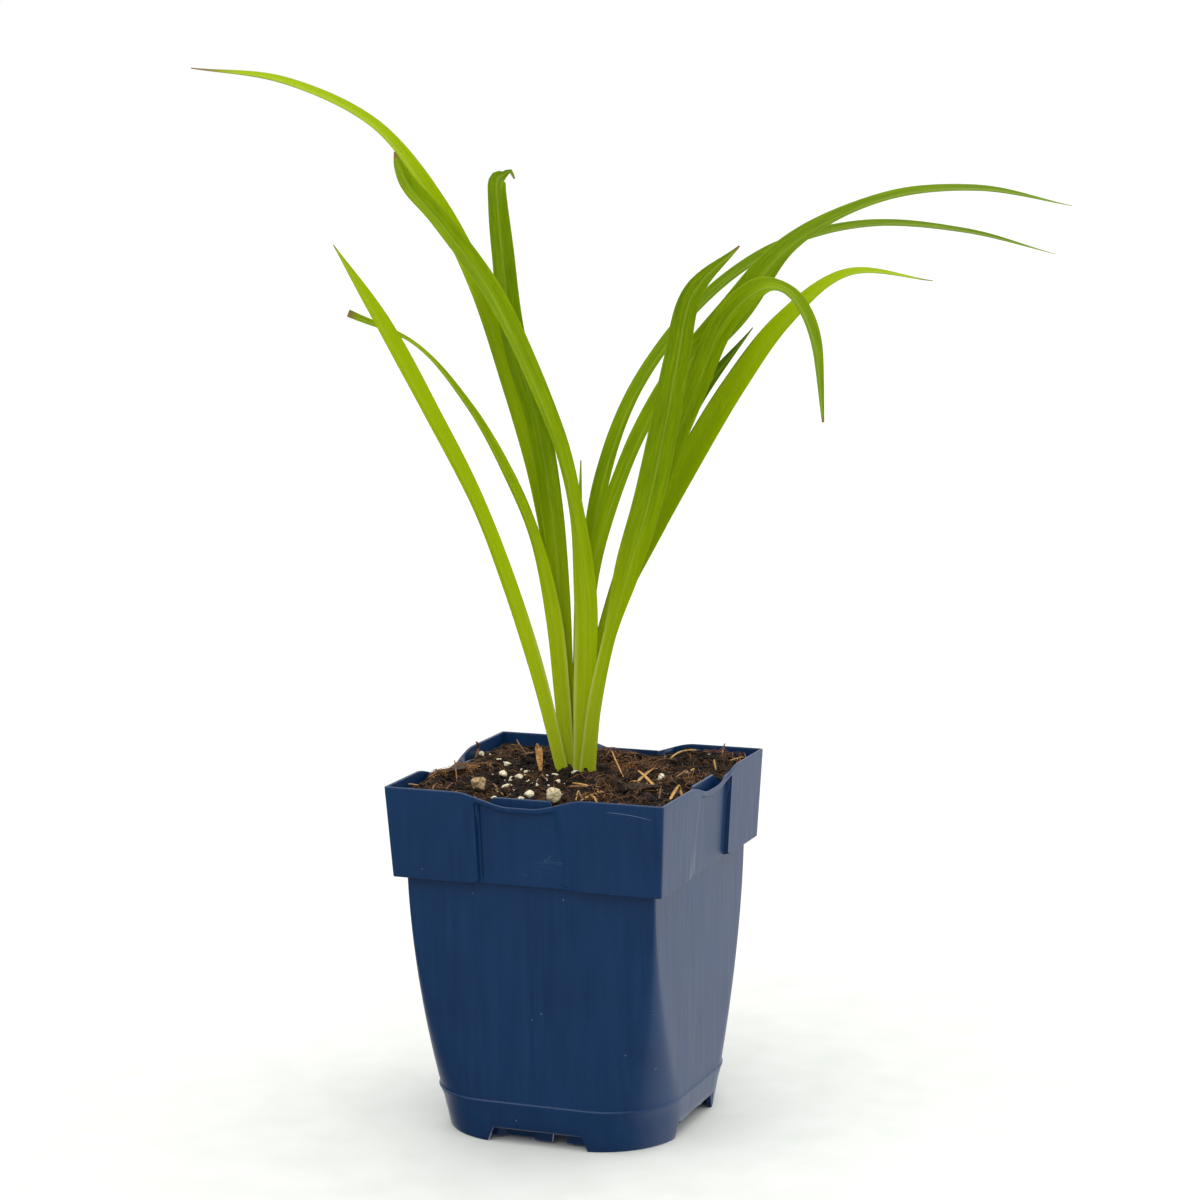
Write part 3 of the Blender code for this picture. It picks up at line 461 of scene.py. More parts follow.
def lipHighlightMask(tree, place):
    # A painted highlight, on the front only: nearness to a straight line in x and z, times a fade at the line's two
    # ends.
    (fromX, fromZ), (toX, toZ) = plastic["lipHighlightFrom"], plastic["lipHighlightTo"]
    parts = addNode(tree, "ShaderNodeSeparateXYZ", None, {0: place})
    along = addNode(tree, "ShaderNodeMapRange", {
        "From Min": fromX * metresPerMm + potMiddle[0], "From Max": toX * metresPerMm + potMiddle[0]},
        {"Value": parts.outputs["X"]})
    bow = addNode(tree, "ShaderNodeMath", {"operation": "POWER", 1: 2.2}, {0: along})
    line = addNode(tree, "ShaderNodeMapRange", {"To Min": fromZ * metresPerMm, "To Max": toZ * metresPerMm},
                   {"Value": bow})
    off = addNode(tree, "ShaderNodeMath", {"operation": "SUBTRACT"}, {0: parts.outputs["Z"], 1: line})
    off = addNode(tree, "ShaderNodeMath", {"operation": "ABSOLUTE"}, {0: off})
    near = addNode(tree, "ShaderNodeMapRange", {"From Min": plastic["lipHighlightWidth"] * metresPerMm, "From Max": 0.0,
                                                "To Max": 0.42}, {"Value": off})
    ends = addNode(tree, "ShaderNodeMapRange", {"From Min": 0.5, "From Max": 0.3}, {
        "Value": addNode(tree, "ShaderNodeMath", {"operation": "ABSOLUTE"}, {
            0: addNode(tree, "ShaderNodeMath", {"operation": "SUBTRACT", 1: 0.5}, {0: along})})})
    front = addNode(tree, "ShaderNodeMath", {"operation": "LESS_THAN", 1: potMiddle[1] - 0.03},
                    {0: parts.outputs["Y"]})
    both = addNode(tree, "ShaderNodeMath", {"operation": "MULTIPLY"}, {0: near, 1: ends})
    return addNode(tree, "ShaderNodeMath", {"operation": "MULTIPLY"}, {0: both, 1: front})


def makePot():
    rings = softened(potStations())
    points, quads, triangles = closedLoft(rings)
    piece = makePiece("pot_shell", points, quads, triangles, makePlastic(), "pot_plastic", ["nursery_pot"])
    cutThrough(piece, *drainBlocks())
    piece.data.shade_smooth()
    piece.data.set_sharp_from_angle(angle=math.radians(40))
    print("pot:", len(piece.data.polygons), "faces")


makePot()


# Soil: the peat fills the pot; its top is a lumpy crumbly surface that meets the wall and the clump.
soil = dict(
    level=106.4, tilt=-0.012, clump=(-2.3, -12.5), mound=(0.5, 16.0), clearance=0.3, topRings=150,
    edgeClear=2.9, slotClear=3.7,
    heaps=((-35.0, -13.0, 1.8, 60.0), (32.0, -32.0, 1.5, 160.0), (28.0, 37.0, 2.0, 110.0),
           (7.1, -36.9, -1.0, 12.0)),
    clods=((609, 784, 5.2, 2.4), (530, 762, 5.0, 1.4), (488, 774, 4.2, 1.6), (546, 765, 2.6, 2.2),
           (567, 770, 2.6, 1.0), (700, 778, 5.0, 1.2), (580, 794, 4.2, 1.6), (685, 786, 4.0, 1.2),
           (582, 778, 1.8, -1.0), (497, 784, 2.2, -1.8), (640, 780, 3.0, -1.4), (655, 768, 3.5, -1.2)))
clumpPlace = fanToPot(*soil["clump"], 0.0)


def soilRelief(x, y):
    # Rounded lumps of three sizes (the absolute value of noise) and a fine grain, about a mean of nothing.
    flat = np.stack([x, y, np.zeros_like(x)], axis=-1)
    lumps = 0.35 * valueNoise(flat, 0.7, 14)
    for size, height, seed in ((7.0, 2.3, 11), (3.1, 1.9, 12), (1.5, 1.1, 13)):
        lumps = lumps + height * (np.abs(valueNoise(flat, size, seed)) - 0.33)
    return lumps


def soilTop(x, y):
    # Tilted level, a mound at the clump, heaps, clods and pits as bell curves, and the relief. Near the wall the
    # relief shrinks so that no lump overhangs it.
    away = np.hypot(x - clumpPlace[0], y - clumpPlace[1])
    level = soil["level"] + soil["tilt"] * y + soil["mound"][0] * np.exp(-(away / soil["mound"][1]) ** 2)
    for heapX, heapY, height, reach in soil["heaps"]:
        level = level + height * np.exp(-((x - heapX) ** 2 + (y - heapY) ** 2) / reach)
    for pixelX, pixelY, reach, height in soil["clods"]:
        clodX, clodY = onSoilPlane((pixelX, pixelY))
        level = level + height * np.exp(-(((x - clodX) ** 2 + (y - clodY) ** 2) / reach ** 2) ** 2)
    wallway = np.maximum(np.abs(x), np.abs(y))
    fade = 1.0 - 0.65 * smoothStep(wallway, 36.0, 42.5)
    return level + soilRelief(x, y) * fade


def insideWall(places):
    # Moves places (x, y) back from the pot's walls, and further back between the two ends of each face's slot.
    limit = pot["rimHalf"] - soil["edgeClear"]
    for face in range(4):
        stop = places @ faceAlongs[face] * (-1 if face % 2 else 1)
        room = limit - soil["slotClear"] * ((stop > -13.2) & (stop < 10.2))
        beyond = np.maximum(places @ faceNormals[face] - room, 0.0)
        places = places - beyond[..., None] * faceNormals[face]
    return places


def makeSoilPiece(material):
    size, radius = pot, pot["rimRadius"]
    stepped = size["recess"] * (smoothStep(softStop, -20.5, -15.8) - smoothStep(softStop, 8.0, 16.0))
    edgeInset = stepped + size["wall"] + soil["clearance"]
    ledge = shoulder + 1.35
    rings = [potRing(8.0, 6.0, 0.0, size["floorTop"] + 0.35), potRing(20.0, 12.0, 0.0, size["floorTop"] + 0.35),
             potRing(size["ringHalf"], cornerRadius(10.0), size["footWall"] + 1.1, size["floorTop"] + 0.35)]
    for height in (size["ringHeight"], 34.0, 56.0, 78.0):
        rings.append(potRing(bodyHalf(height), cornerRadius(height), size["wall"] + 0.35, height))
    rings += [potRing(bodyHalf(shoulder), radius, size["wall"] + 0.35, ledge),
              potRing(collarFace(84.2), radius, edgeInset, ledge),
              potRing(collarFace(96.0), radius, edgeInset, 96.0),
              potRing(collarFace(99.2), radius, edgeInset, 99.2),
              potRing(collarFace(100.2), radius, edgeInset + soilPocket * 3.7, 100.2)]
    edge = potRing(size["rimHalf"], radius, edgeInset + 0.35 + soilPocket * 3.4, 0.0)
    shares = np.linspace(1.0, 0.012, soil["topRings"])[:, None, None]
    top = clumpPlace + (edge - clumpPlace) * shares
    top[..., 2] = soilTop(top[..., 0], top[..., 1])
    rings = np.concatenate([np.array(rings), top])
    points, quads, triangles = closedLoft(rings)
    # The relief goes on the points, where the peat's material reads it for its painted shade in hollows and painted
    # light on lumps.
    relief = {"relief": soilRelief(points[:, 0], points[:, 1])}
    piece = makePiece("peat_mix", points, quads, triangles, material, "soil", ["peat_soil"], relief, 80)
    print("soil:", len(piece.data.polygons), "faces")


# Peat mix: nearly black when moist, with browner drier crumbs on top, matt, and a green algae patch at the back.
# Painted shade darkens its hollows and painted light brightens its lumps.
peat = dict(wet="#0b0704", dark="#1b1109", brown="#4c321b", dry="#876039", moss="#3a3c1c", mossPixel=(708, 753),
            gloss=0.25)


def makePeat(name, lift):
    material, tree, shader = newMaterial(name, Roughness=0.86, Specular_IOR_Level=peat["gloss"])
    place = addNode(tree, "ShaderNodeTexCoord").outputs["Object"]
    coarse = addNode(tree, "ShaderNodeTexNoise", {"Scale": 160.0, "Detail": 5.0, "Roughness": 0.65}, {"Vector": place})
    fine = addNode(tree, "ShaderNodeTexNoise", {"Scale": 1500.0, "Detail": 3.0, "Roughness": 0.7}, {"Vector": place})
    cells = addNode(tree, "ShaderNodeTexVoronoi", {"Scale": 900.0}, {"Vector": place})
    mix = addNode(tree, "ShaderNodeMath", {"operation": "MULTIPLY_ADD", 1: 0.62},
                  {0: coarse.outputs[0], 2: addNode(tree, "ShaderNodeMath", {"operation": "MULTIPLY", 1: 0.38},
                                                    {0: fine.outputs[0]})})
    lifted = addNode(tree, "ShaderNodeMath", {"operation": "ADD", 1: lift}, {0: mix})
    colour = addNode(tree, "ShaderNodeValToRGB", {"ramp": (
        (0.36, peat["wet"]), (0.5, peat["dark"]), (0.62, peat["brown"]), (0.76, peat["dry"]))}, {0: lifted})
    mossX, mossY = onSoilPlane(peat["mossPixel"]) * metresPerMm
    spot = (float(mossX) + potMiddle[0], float(mossY) + potMiddle[1], 0.107)
    away = addNode(tree, "ShaderNodeVectorMath", {"operation": "DISTANCE", 1: spot}, {0: place})
    patch = addNode(tree, "ShaderNodeMapRange", {"From Min": 0.009, "From Max": 0.003, "To Max": 0.75},
                    {"Value": away.outputs["Value"]})
    green = addNode(tree, "ShaderNodeMix", {"data_type": "RGBA", 7: peat["moss"]}, {0: patch, 6: colour})
    # Painted shade and light: the colour is scaled by the surface's relief, darkest in the hollows and brightest on the
    # lumps.
    relief = addNode(tree, "ShaderNodeAttribute", {"attribute_name": "relief"}).outputs["Fac"]
    depth = addNode(tree, "ShaderNodeMapRange", {"From Min": -1.0, "From Max": 0.9, "To Min": 0.05, "To Max": 1.55},
                    {"Value": relief})
    paintedReliefShading = addNode(tree, "ShaderNodeVectorMath", {"operation": "SCALE"}, {0: green.outputs[2], 3: depth})
    tree.links.new(paintedReliefShading.outputs[0], shader.inputs["Base Color"])
    height = addNode(tree, "ShaderNodeMath", {"operation": "MULTIPLY_ADD", 1: 0.7},
                     {0: cells.outputs["Distance"], 2: fine.outputs[0]})
    bump = addNode(tree, "ShaderNodeBump", {"Strength": 0.9, "Distance": 0.0004}, {"Height": height})
    tree.links.new(bump.outputs[0], shader.inputs["Normal"])
    return material


peatMaterial = makePeat("peat_mix_moist", 0.0)
makeSoilPiece(peatMaterial)


# Leaves: knots of each blade in the fan's directions, from the crown to the tip. Turn is the blade's twist from
# facing the fan's front and fold the rise of each wing from flat, in degrees.
leafPlan = {
    "leaf_left_low": dict(
        route=((-4.8, -8.2, 106.3), (-11.7, -7, 137), (-20, -4, 166), (-30, -1, 194), (-43, 5, 222),
               (-56, 11, 248), (-70, 18, 272)),
        width=(3.8, 4.9, 6.3, 6.8, 7.4, 6.8, 0.4),
        turn=(0, -20, -40, -45, -45, -45, -45), fold=(4, 16, 28, 30, 30, 28, 20)),
    "leaf_left_thin": dict(
        route=((-3.2, -9.2, 106.3), (-4.7, -9, 131), (-7, -8.2, 156), (-12, -7, 180), (-21, -4, 203),
               (-32, -1, 223), (-47, 2, 241), (-67, 6, 251)),
        width=(4.2, 5.1, 5.3, 4.6, 5.3, 3.9, 2.0, 2.4),
        turn=(0, -6, -15, -40, -50, -60, -60, -25), fold=(4, 8, 14, 24, 28, 28, 22, 10)),
    "leaf_left_long": dict(
        route=((-2.4, -12, 106.3), (-4.6, -12.4, 138), (-6, -12.8, 169), (-11, -13.2, 199),
               (-19, -13.2, 228), (-28.4, -13, 258), (-41, -10.5, 284), (-58, -6.5, 306.6), (-84, 1, 320),
               (-112, 4, 324)),
        width=(4.4, 5.6, 6.8, 7.8, 8.0, 8.0, 7.2, 6.0, 5.2, 0.8),
        turn=(0, -5, -12, -30, -35, -35, -45, -62, -68, -70), fold=(4, 8, 14, 22, 24, 24, 22, 20, 18, 14)),
    "leaf_upright": dict(
        route=((-1.8, -10.6, 106.3), (-3.8, -10.8, 134), (-5, -10.8, 162), (-7, -10.6, 189),
               (-11, -10.4, 216), (-18, -11, 242), (-21, -13, 269), (-22.3, -14, 284),
               (-22.2, -15.5, 289.4), (-20.2, -17.5, 290.9), (-18.3, -17.5, 292), (-17.1, -17, 289.6)),
        width=(4.4, 5.6, 6.6, 7.4, 8.0, 8.2, 7.4, 6.0, 5.2, 2.2, 1.4, 0.5),
        turn=(0, -5, -10, -14, -16, -16, -12, -8, -8, -8, -8, -8),
        fold=(4, 8, 14, 20, 22, 22, 20, 14, 10, 8, 8, 8)),
    "leaf_centre_front": dict(
        route=((0.9, -7.3, 106.3), (2.2, -7.4, 133), (3, -7, 159), (1, -6, 186), (-4, -4, 210),
               (-13, -3, 234), (-24, -2, 257), (-39, -1, 278), (-47.6, 0, 288), (-50.9, 0.5, 294),
               (-52.4, 0.5, 298.6)),
        width=(5.0, 6.8, 7.4, 7.0, 7.2, 8.0, 8.0, 7.2, 6.6, 4.0, 0.5),
        turn=(0, -2, -6, -46, -50, -46, -40, -36, -35, -30, -25),
        fold=(4, 8, 14, 22, 24, 24, 24, 22, 20, 18, 16)),
    "leaf_young_centre": dict(
        route=((-1, -13.3, 106.3), (0, -13.6, 139), (1, -15.2, 171), (2, -18, 203)),
        width=(2.4, 2.6, 2.4, 0.4),
        turn=(0, 0, 0, 0), fold=(4, 8, 12, 12)),
    "leaf_right_back": dict(
        route=((0.2, -18.9, 106.3), (1.8, -20.8, 136), (3.8, -22.4, 167), (8.6, -24, 197), (19.5, -25, 225),
               (38.5, -27, 250), (62, -28, 267), (91, -29, 274.4), (121, -30, 272), (150, -30, 264)),
        width=(4.0, 4.8, 5.6, 6.4, 6.4, 6.6, 6.2, 5.4, 4.0, 0.4),
        turn=(0, 5, 18, 40, 50, 57, 62, 70, 72, 72), fold=(4, 8, 14, 20, 22, 22, 20, 18, 16, 12)),
    "leaf_right_top": dict(
        route=((0.8, -17.8, 106.3), (2.4, -19.1, 137), (4.6, -19.2, 167), (13.8, -18, 197), (27, -14, 224),
               (48.4, -12, 248), (67, -11, 270), (94, -10, 283), (123, -10, 285.6), (152, -9, 279.6)),
        width=(4.0, 4.8, 5.8, 6.8, 8.2, 10.4, 8.4, 6.5, 5.0, 0.4),
        turn=(0, 5, 22, 48, 48, 14, 52, 70, 72, 72), fold=(4, 8, 14, 18, 20, 18, 20, 20, 16, 12)),
    "leaf_front_broad": dict(
        route=((2.7, -6.2, 106.3), (5.2, -4.6, 128), (10, -3, 150), (16, 0, 172), (22, 3, 192),
               (27, 6, 214), (31, 9, 235), (36, 12, 256), (50, 15, 270)),
        width=(5.2, 4.6, 5.6, 9.2, 9.8, 9.5, 8.5, 6.5, 0.6),
        turn=(0, 18, 44, 26, 20, 16, 14, 20, 30), fold=(4, 8, 14, 18, 18, 18, 18, 16, 12)),
    "leaf_right_reaching": dict(
        route=((1.2, -16.7, 106.3), (4.2, -17.1, 131), (11.5, -17, 156), (23.8, -17, 181), (35.8, -15, 204),
               (49, -12, 226), (64.4, -8, 246.6), (84, -4, 261), (109, -1, 258)),
        width=(4.0, 4.6, 5.6, 7.2, 8.6, 8.4, 7.6, 5.2, 0.6),
        turn=(0, 6, 14, 22, 22, 28, 45, 68, 72), fold=(4, 8, 14, 18, 20, 22, 22, 20, 14)),
    "leaf_right_drooping": dict(
        route=((0.8, -14.4, 106.3), (3.6, -14.6, 130), (10, -12, 153), (18, -8, 177), (26.5, -5, 200),
               (36, -1, 224), (45, 4, 246), (54.6, 7, 256.4), (62, 8, 257.8), (68.4, 10, 252.6),
               (73, 12, 240), (74.8, 13, 217)),
        width=(4.0, 4.6, 5.4, 6.0, 7.0, 8.0, 8.4, 8.4, 7.0, 7.2, 6.2, 1.2),
        turn=(0, 6, 12, 16, 18, 20, 20, 40, 66, 60, 56, 50),
        fold=(4, 8, 14, 18, 20, 20, 20, 20, 20, 20, 18, 12)),
    "leaf_right_short": dict(
        route=((0.6, -15.6, 106.3), (4.8, -15.8, 136), (13, -14.5, 165), (23, -13, 193), (37, -11.5, 221),
               (55, -9, 244)),
        width=(3.2, 3.6, 4.4, 5.2, 6.2, 0.5),
        turn=(0, 6, 14, 25, 40, 50), fold=(4, 8, 14, 20, 22, 16)),
}
# Each blade's tone, which darkens or brightens it, the length of its brown tip in mm, and the side of its base
# that has the pale sheath's edge: 1 right, -1 left, 0 neither. On leaf_left_low that pale edge is a painted
# highlight along its right margin.
leafTone = {
    "leaf_left_low": (0.46, 1.5, 1), "leaf_left_thin": (0.2, 2.0, 1), "leaf_left_long": (0.46, 9.0, 0),
    "leaf_upright": (0.0, 1.0, 0), "leaf_centre_front": (0.14, 2.0, -1), "leaf_young_centre": (0.0, 1.0, 0),
    "leaf_right_back": (0.0, 3.0, 0), "leaf_right_top": (0.05, 3.0, 0), "leaf_front_broad": (0.0, 2.0, -1),
    "leaf_right_reaching": (0.52, 4.0, 0), "leaf_right_drooping": (0.12, 2.0, 0),
    "leaf_right_short": (-0.25, 1.0, 0),
}
blade = dict(
    stations=150, columns=41, midribThick=0.5, wingThick=0.3, edgeThick=0.13, keel=0.3, groove=0.12,
    fold=0.2, camber=0.05, ribCount=5.0, ribHeight=0.018, ripple=0.22, rippleMm=17.0)


def smoothThrough(knots, stations):
    # A Catmull-Rom curve through every knot, read at evenly spaced stations along its length.
    padded = np.vstack([2 * knots[0] - knots[1], knots, 2 * knots[-1] - knots[-2]])
    t = np.linspace(0.0, 1.0, 24, endpoint=False)[:, None]
    fine = []
    for index in range(1, len(padded) - 2):
        a, b, c, d = padded[index - 1:index + 3]
        fine.append(0.5 * (2 * b + (c - a) * t + (2 * a - 5 * b + 4 * c - d) * t ** 2
                           + (3 * b - a - 3 * c + d) * t ** 3))
    fine = np.vstack([*fine, knots[-1:]])
    length = np.concatenate([[0.0], np.cumsum(np.linalg.norm(np.diff(fine[:, :3], axis=0), axis=1))])
    wanted = np.linspace(0.0, length[-1], stations)
    return np.column_stack([np.interp(wanted, length, column) for column in fine.T]), wanted


def bladeSection(u, half, fold):
    # Across and up of the blade's middle skin at u from -1 to 1: wings that rise at the fold angle from a rounded
    # keel (the root of u u + r r), with a slight outward bow, for rows of half widths.
    rounded = blade["fold"]
    rise = (np.sqrt(u ** 2 + rounded ** 2) - rounded) / (math.sqrt(1 + rounded ** 2) - rounded)
    across = half * u * np.cos(fold)
    up = half * (rise * np.sin(fold) - 4 * blade["camber"] * np.abs(u) * (1 - np.abs(u)))
    return across, up


def makeLeaf(name, plan, material, seed):
    knots = np.column_stack([plan["route"], plan["width"], plan["turn"], plan["fold"]]).astype(float)
    rows, length = smoothThrough(knots, blade["stations"])
    centre = fanToPot(rows[:, 0], rows[:, 1], rows[:, 2])
    front = fanToPot(0.0, 1.0, 0.0)
    along = unit(np.gradient(centre, axis=0))
    facing = unit(front - along * (along @ front)[:, None])
    side = np.cross(along, facing)
    turn, fold = np.radians(rows[:, 4:5]), np.radians(rows[:, 5:6])
    acrossWay = side * np.cos(turn) + facing * np.sin(turn)
    upWay = facing * np.cos(turn) - side * np.sin(turn)
    spread = np.linspace(-1.0, 1.0, blade["columns"])
    u = (spread * (0.45 + 0.55 * spread ** 2))[None]
    half = np.maximum(rows[:, 3:4], 0.25) / 2
    # The route is the middle of the blade's outline, and the fold lies to one side of it on a turned blade.
    offMiddle = np.maximum(np.cos(turn + fold), 0.0) - np.maximum(np.cos(turn - fold), 0.0)
    centre = centre - side * half * offMiddle / 2
    thin = np.clip(half / 2.5, 0.12, 1.0)
    across, up = bladeSection(u, half, fold)
    seat = np.column_stack([length, np.full(len(length), seed * 9.0), np.zeros(len(length))])
    waves = np.stack([valueNoise(seat, blade["rippleMm"], seed), valueNoise(seat, blade["rippleMm"], seed + 50)], 1)
    up = up + blade["ripple"] * smoothStep(length, 20.0, 60.0)[:, None] * thin * u ** 2 * np.where(
        u < 0, waves[:, :1], waves[:, 1:])
    ribs = blade["ribHeight"] * np.cos(2 * math.pi * blade["ribCount"] * np.abs(u))
    thick = blade["edgeThick"] + (blade["wingThick"] - blade["edgeThick"]) * (1 - np.abs(u) ** 5)
    thick = (thick + (blade["midribThick"] - blade["wingThick"]) * np.exp(-(u / 0.14) ** 2)) * thin
    over = up + thick / 2 + (ribs - blade["groove"] * np.exp(-(u / 0.06) ** 2)) * thin
    under = up - thick / 2 + (ribs - blade["keel"] * np.exp(-(u / 0.08) ** 2)) * thin
    surfaces = []
    for height in (under, over):
        surfaces.append(centre[:, None] + across[..., None] * acrossWay[:, None] + height[..., None] * upWay[:, None])
    rings = np.concatenate([surfaces[0][:, ::-1], surfaces[1]], axis=1)
    rings[0, :, 2] = 106.3
    points, quads, triangles = closedLoft(rings)
    shareAcross = np.broadcast_to(np.concatenate([u[:, ::-1], u], axis=1), rings.shape[:2])
    upper = np.broadcast_to(np.repeat((0.0, 1.0), blade["columns"]), rings.shape[:2])
    tone, dry, paleSide = leafTone[name]
    fields = {
        "acrossShare": shareAcross,
        "acrossMm": shareAcross * half,
        "lengthMm": np.broadcast_to(length[:, None], rings.shape[:2]),
        "dryness": np.broadcast_to(smoothStep(length, length[-1] - dry * 1.6, length[-1] - dry * 0.3)[:, None],
                                   rings.shape[:2]),
        "upperSide": upper,
        # The pale sheath edge, which on leaf_left_low is a painted highlight along its right margin.
        "sheath": (0.75 * smoothStep(shareAcross * paleSide, 0.5, 1.0)
                   * (1.0 - smoothStep(length, 26.0, 62.0))[:, None]),
    }
    fields = {key: np.append(values.ravel(), [values[0].mean(), values[-1].mean()])
              for key, values in fields.items()}
    # Blades darken upwards.
    fields["tone"] = tone - 0.14 * smoothStep(fields["lengthMm"], 80.0, 200.0)
    fields["plant"] = np.full(len(points), seed * 31.0)
    makePiece(name.replace("leaf", "blade"), points, quads, triangles, material, "leaf", [name], fields)


# Living strap leaf: a waxy cuticle over soft green tissue that lets light through, with parallel veins, a paler
# channel along the upper midrib, a darker keel below, thin pale margins, and whitish sheaths where it leaves the
# soil, the one on leaf_left_low being a painted highlight along its right margin. Veins lie about 0.55 mm apart.
leafLook = dict(
    deep="#4f6a00", middle="#7a9600", bright="#a8c000", base="#b3c402", sheath="#d3d670", rib="#a9b94a",
    keel="#5f7a00", margin="#a9b82a", dry="#8a6a3a", veinMm=0.55, sheathMm=20.0, roughness=0.42, gloss=0.22,
    sheen=(0.9, 1.0, 0.45, 1.0), glow="#a8cc00", glowShare=0.22)


def makeLeafMaterial():
    material, tree, shader = newMaterial("strap_leaf_waxy_living", Roughness=leafLook["roughness"], IOR=1.42,
                                         Specular_IOR_Level=leafLook["gloss"], Specular_Tint=leafLook["sheen"])
    reads = {}
    for field in ("acrossShare", "acrossMm", "lengthMm", "dryness", "upperSide", "sheath", "tone", "plant"):
        reads[field] = addNode(tree, "ShaderNodeAttribute", {"attribute_name": field}).outputs["Fac"]
    # Streaks run along the blade: noise read at across mm and a twentieth of the length.
    slow = addNode(tree, "ShaderNodeMath", {"operation": "MULTIPLY", 1: 0.045}, {0: reads["lengthMm"]})
    place = addNode(tree, "ShaderNodeCombineXYZ", None, {0: reads["acrossMm"], 1: slow, 2: reads["plant"]})
    streaks = addNode(tree, "ShaderNodeTexNoise", {"Scale": 1.1, "Detail": 3.0, "Roughness": 0.6}, {"Vector": place})
    threads = addNode(tree, "ShaderNodeTexNoise", {"Scale": 4.5, "Detail": 1.0}, {"Vector": place})
    phase = addNode(tree, "ShaderNodeMath", {"operation": "MULTIPLY_ADD", 1: 2 * math.pi / leafLook["veinMm"]},
                    {0: reads["acrossMm"], 2: streaks.outputs[0]})
    veins = addNode(tree, "ShaderNodeMath", {"operation": "SINE"}, {0: phase})
    tone = addNode(tree, "ShaderNodeMath", {"operation": "MULTIPLY_ADD", 1: 0.55},
                   {0: streaks.outputs[0], 2: reads["tone"]})
    tone = addNode(tree, "ShaderNodeMath", {"operation": "MULTIPLY_ADD", 1: 0.035}, {0: veins, 2: tone})
    tone = addNode(tree, "ShaderNodeMath", {"operation": "MULTIPLY_ADD", 1: 0.3}, {0: threads.outputs[0], 2: tone})
    green = addNode(tree, "ShaderNodeValToRGB", {"ramp": (
        (0.1, leafLook["deep"]), (0.42, leafLook["middle"]), (0.78, leafLook["bright"]))}, {0: tone})
    size = addNode(tree, "ShaderNodeMath", {"operation": "ABSOLUTE"}, {0: reads["acrossShare"]})
    # Towards the soil: first a lighter green, then a whitish sheath, strongest at the margins.
    low = addNode(tree, "ShaderNodeMapRange", {"From Min": 95.0, "From Max": 12.0}, {"Value": reads["lengthMm"]})
    lowGreen = addNode(tree, "ShaderNodeMix", {"data_type": "RGBA", 7: leafLook["base"]}, {
        0: addNode(tree, "ShaderNodeMath", {"operation": "MULTIPLY", 1: 0.85}, {0: low}), 6: green})
    white = addNode(tree, "ShaderNodeMapRange", {"From Min": leafLook["sheathMm"] * 1.5, "From Max": 4.0},
                    {"Value": reads["lengthMm"]})
    whiteEdge = addNode(tree, "ShaderNodeMapRange", {"From Min": 0.5, "From Max": 1.0, "To Min": 0.08,
                                                     "To Max": 0.45}, {"Value": size})
    foot = addNode(tree, "ShaderNodeMath", {"operation": "MULTIPLY"}, {0: white, 1: whiteEdge})
    # On leaf_left_low the sheath attribute paints a highlight along the blade's right margin.
    sheathedAndHighlit = addNode(tree, "ShaderNodeMix", {"data_type": "RGBA", 7: leafLook["sheath"]}, {
        0: addNode(tree, "ShaderNodeMath", {"operation": "MAXIMUM"}, {0: foot, 1: reads["sheath"]}),
        6: lowGreen.outputs[2]})
    # Midrib: pale on the upper side and darker on the keel. Margin: a thin pale line.
    ribNear = addNode(tree, "ShaderNodeMapRange", {"From Min": 0.42, "From Max": 0.12}, {
        "Value": addNode(tree, "ShaderNodeMath", {"operation": "ABSOLUTE"}, {0: reads["acrossMm"]})})
    ribColour = addNode(tree, "ShaderNodeMix", {"data_type": "RGBA", 6: leafLook["keel"], 7: leafLook["rib"]},
                        {0: reads["upperSide"]})
    ribbed = addNode(tree, "ShaderNodeMix", {"data_type": "RGBA"}, {
        0: addNode(tree, "ShaderNodeMath", {"operation": "MULTIPLY", 1: 0.32}, {0: ribNear}),
        6: sheathedAndHighlit.outputs[2], 7: ribColour.outputs[2]})
    marginNear = addNode(tree, "ShaderNodeMapRange", {"From Min": 0.93, "From Max": 1.0, "To Max": 0.55},
                         {"Value": size})
    edged = addNode(tree, "ShaderNodeMix", {"data_type": "RGBA", 7: leafLook["margin"]},
                    {0: marginNear, 6: ribbed.outputs[2]})
    dried = addNode(tree, "ShaderNodeMix", {"data_type": "RGBA", 7: leafLook["dry"]},
                    {0: reads["dryness"], 6: edged.outputs[2]})
    tree.links.new(dried.outputs[2], shader.inputs["Base Color"])
    rough = addNode(tree, "ShaderNodeMapRange", {"From Min": 0.3, "From Max": 0.7, "To Min": 0.34, "To Max": 0.48},
                    {"Value": threads.outputs[0]})
    tree.links.new(rough.outputs[0], shader.inputs["Roughness"])
    bump = addNode(tree, "ShaderNodeBump", {"Strength": 0.35, "Distance": 0.00005}, {"Height": veins})
    tree.links.new(bump.outputs[0], shader.inputs["Normal"])
    glow = addNode(tree, "ShaderNodeBsdfTranslucent", {"Color": leafLook["glow"]})
    blend = addNode(tree, "ShaderNodeMixShader", {0: leafLook["glowShare"]}, {1: shader, 2: glow})
    tree.links.new(blend.outputs[0], tree.nodes["Material Output"].inputs["Surface"])
    return material


leafMaterial = makeLeafMaterial()
for leafSeed, (leafName, leafKnots) in enumerate(leafPlan.items(), 1):
    makeLeaf(leafName, leafKnots, leafMaterial, leafSeed)
print("leaves:", len(leafPlan))


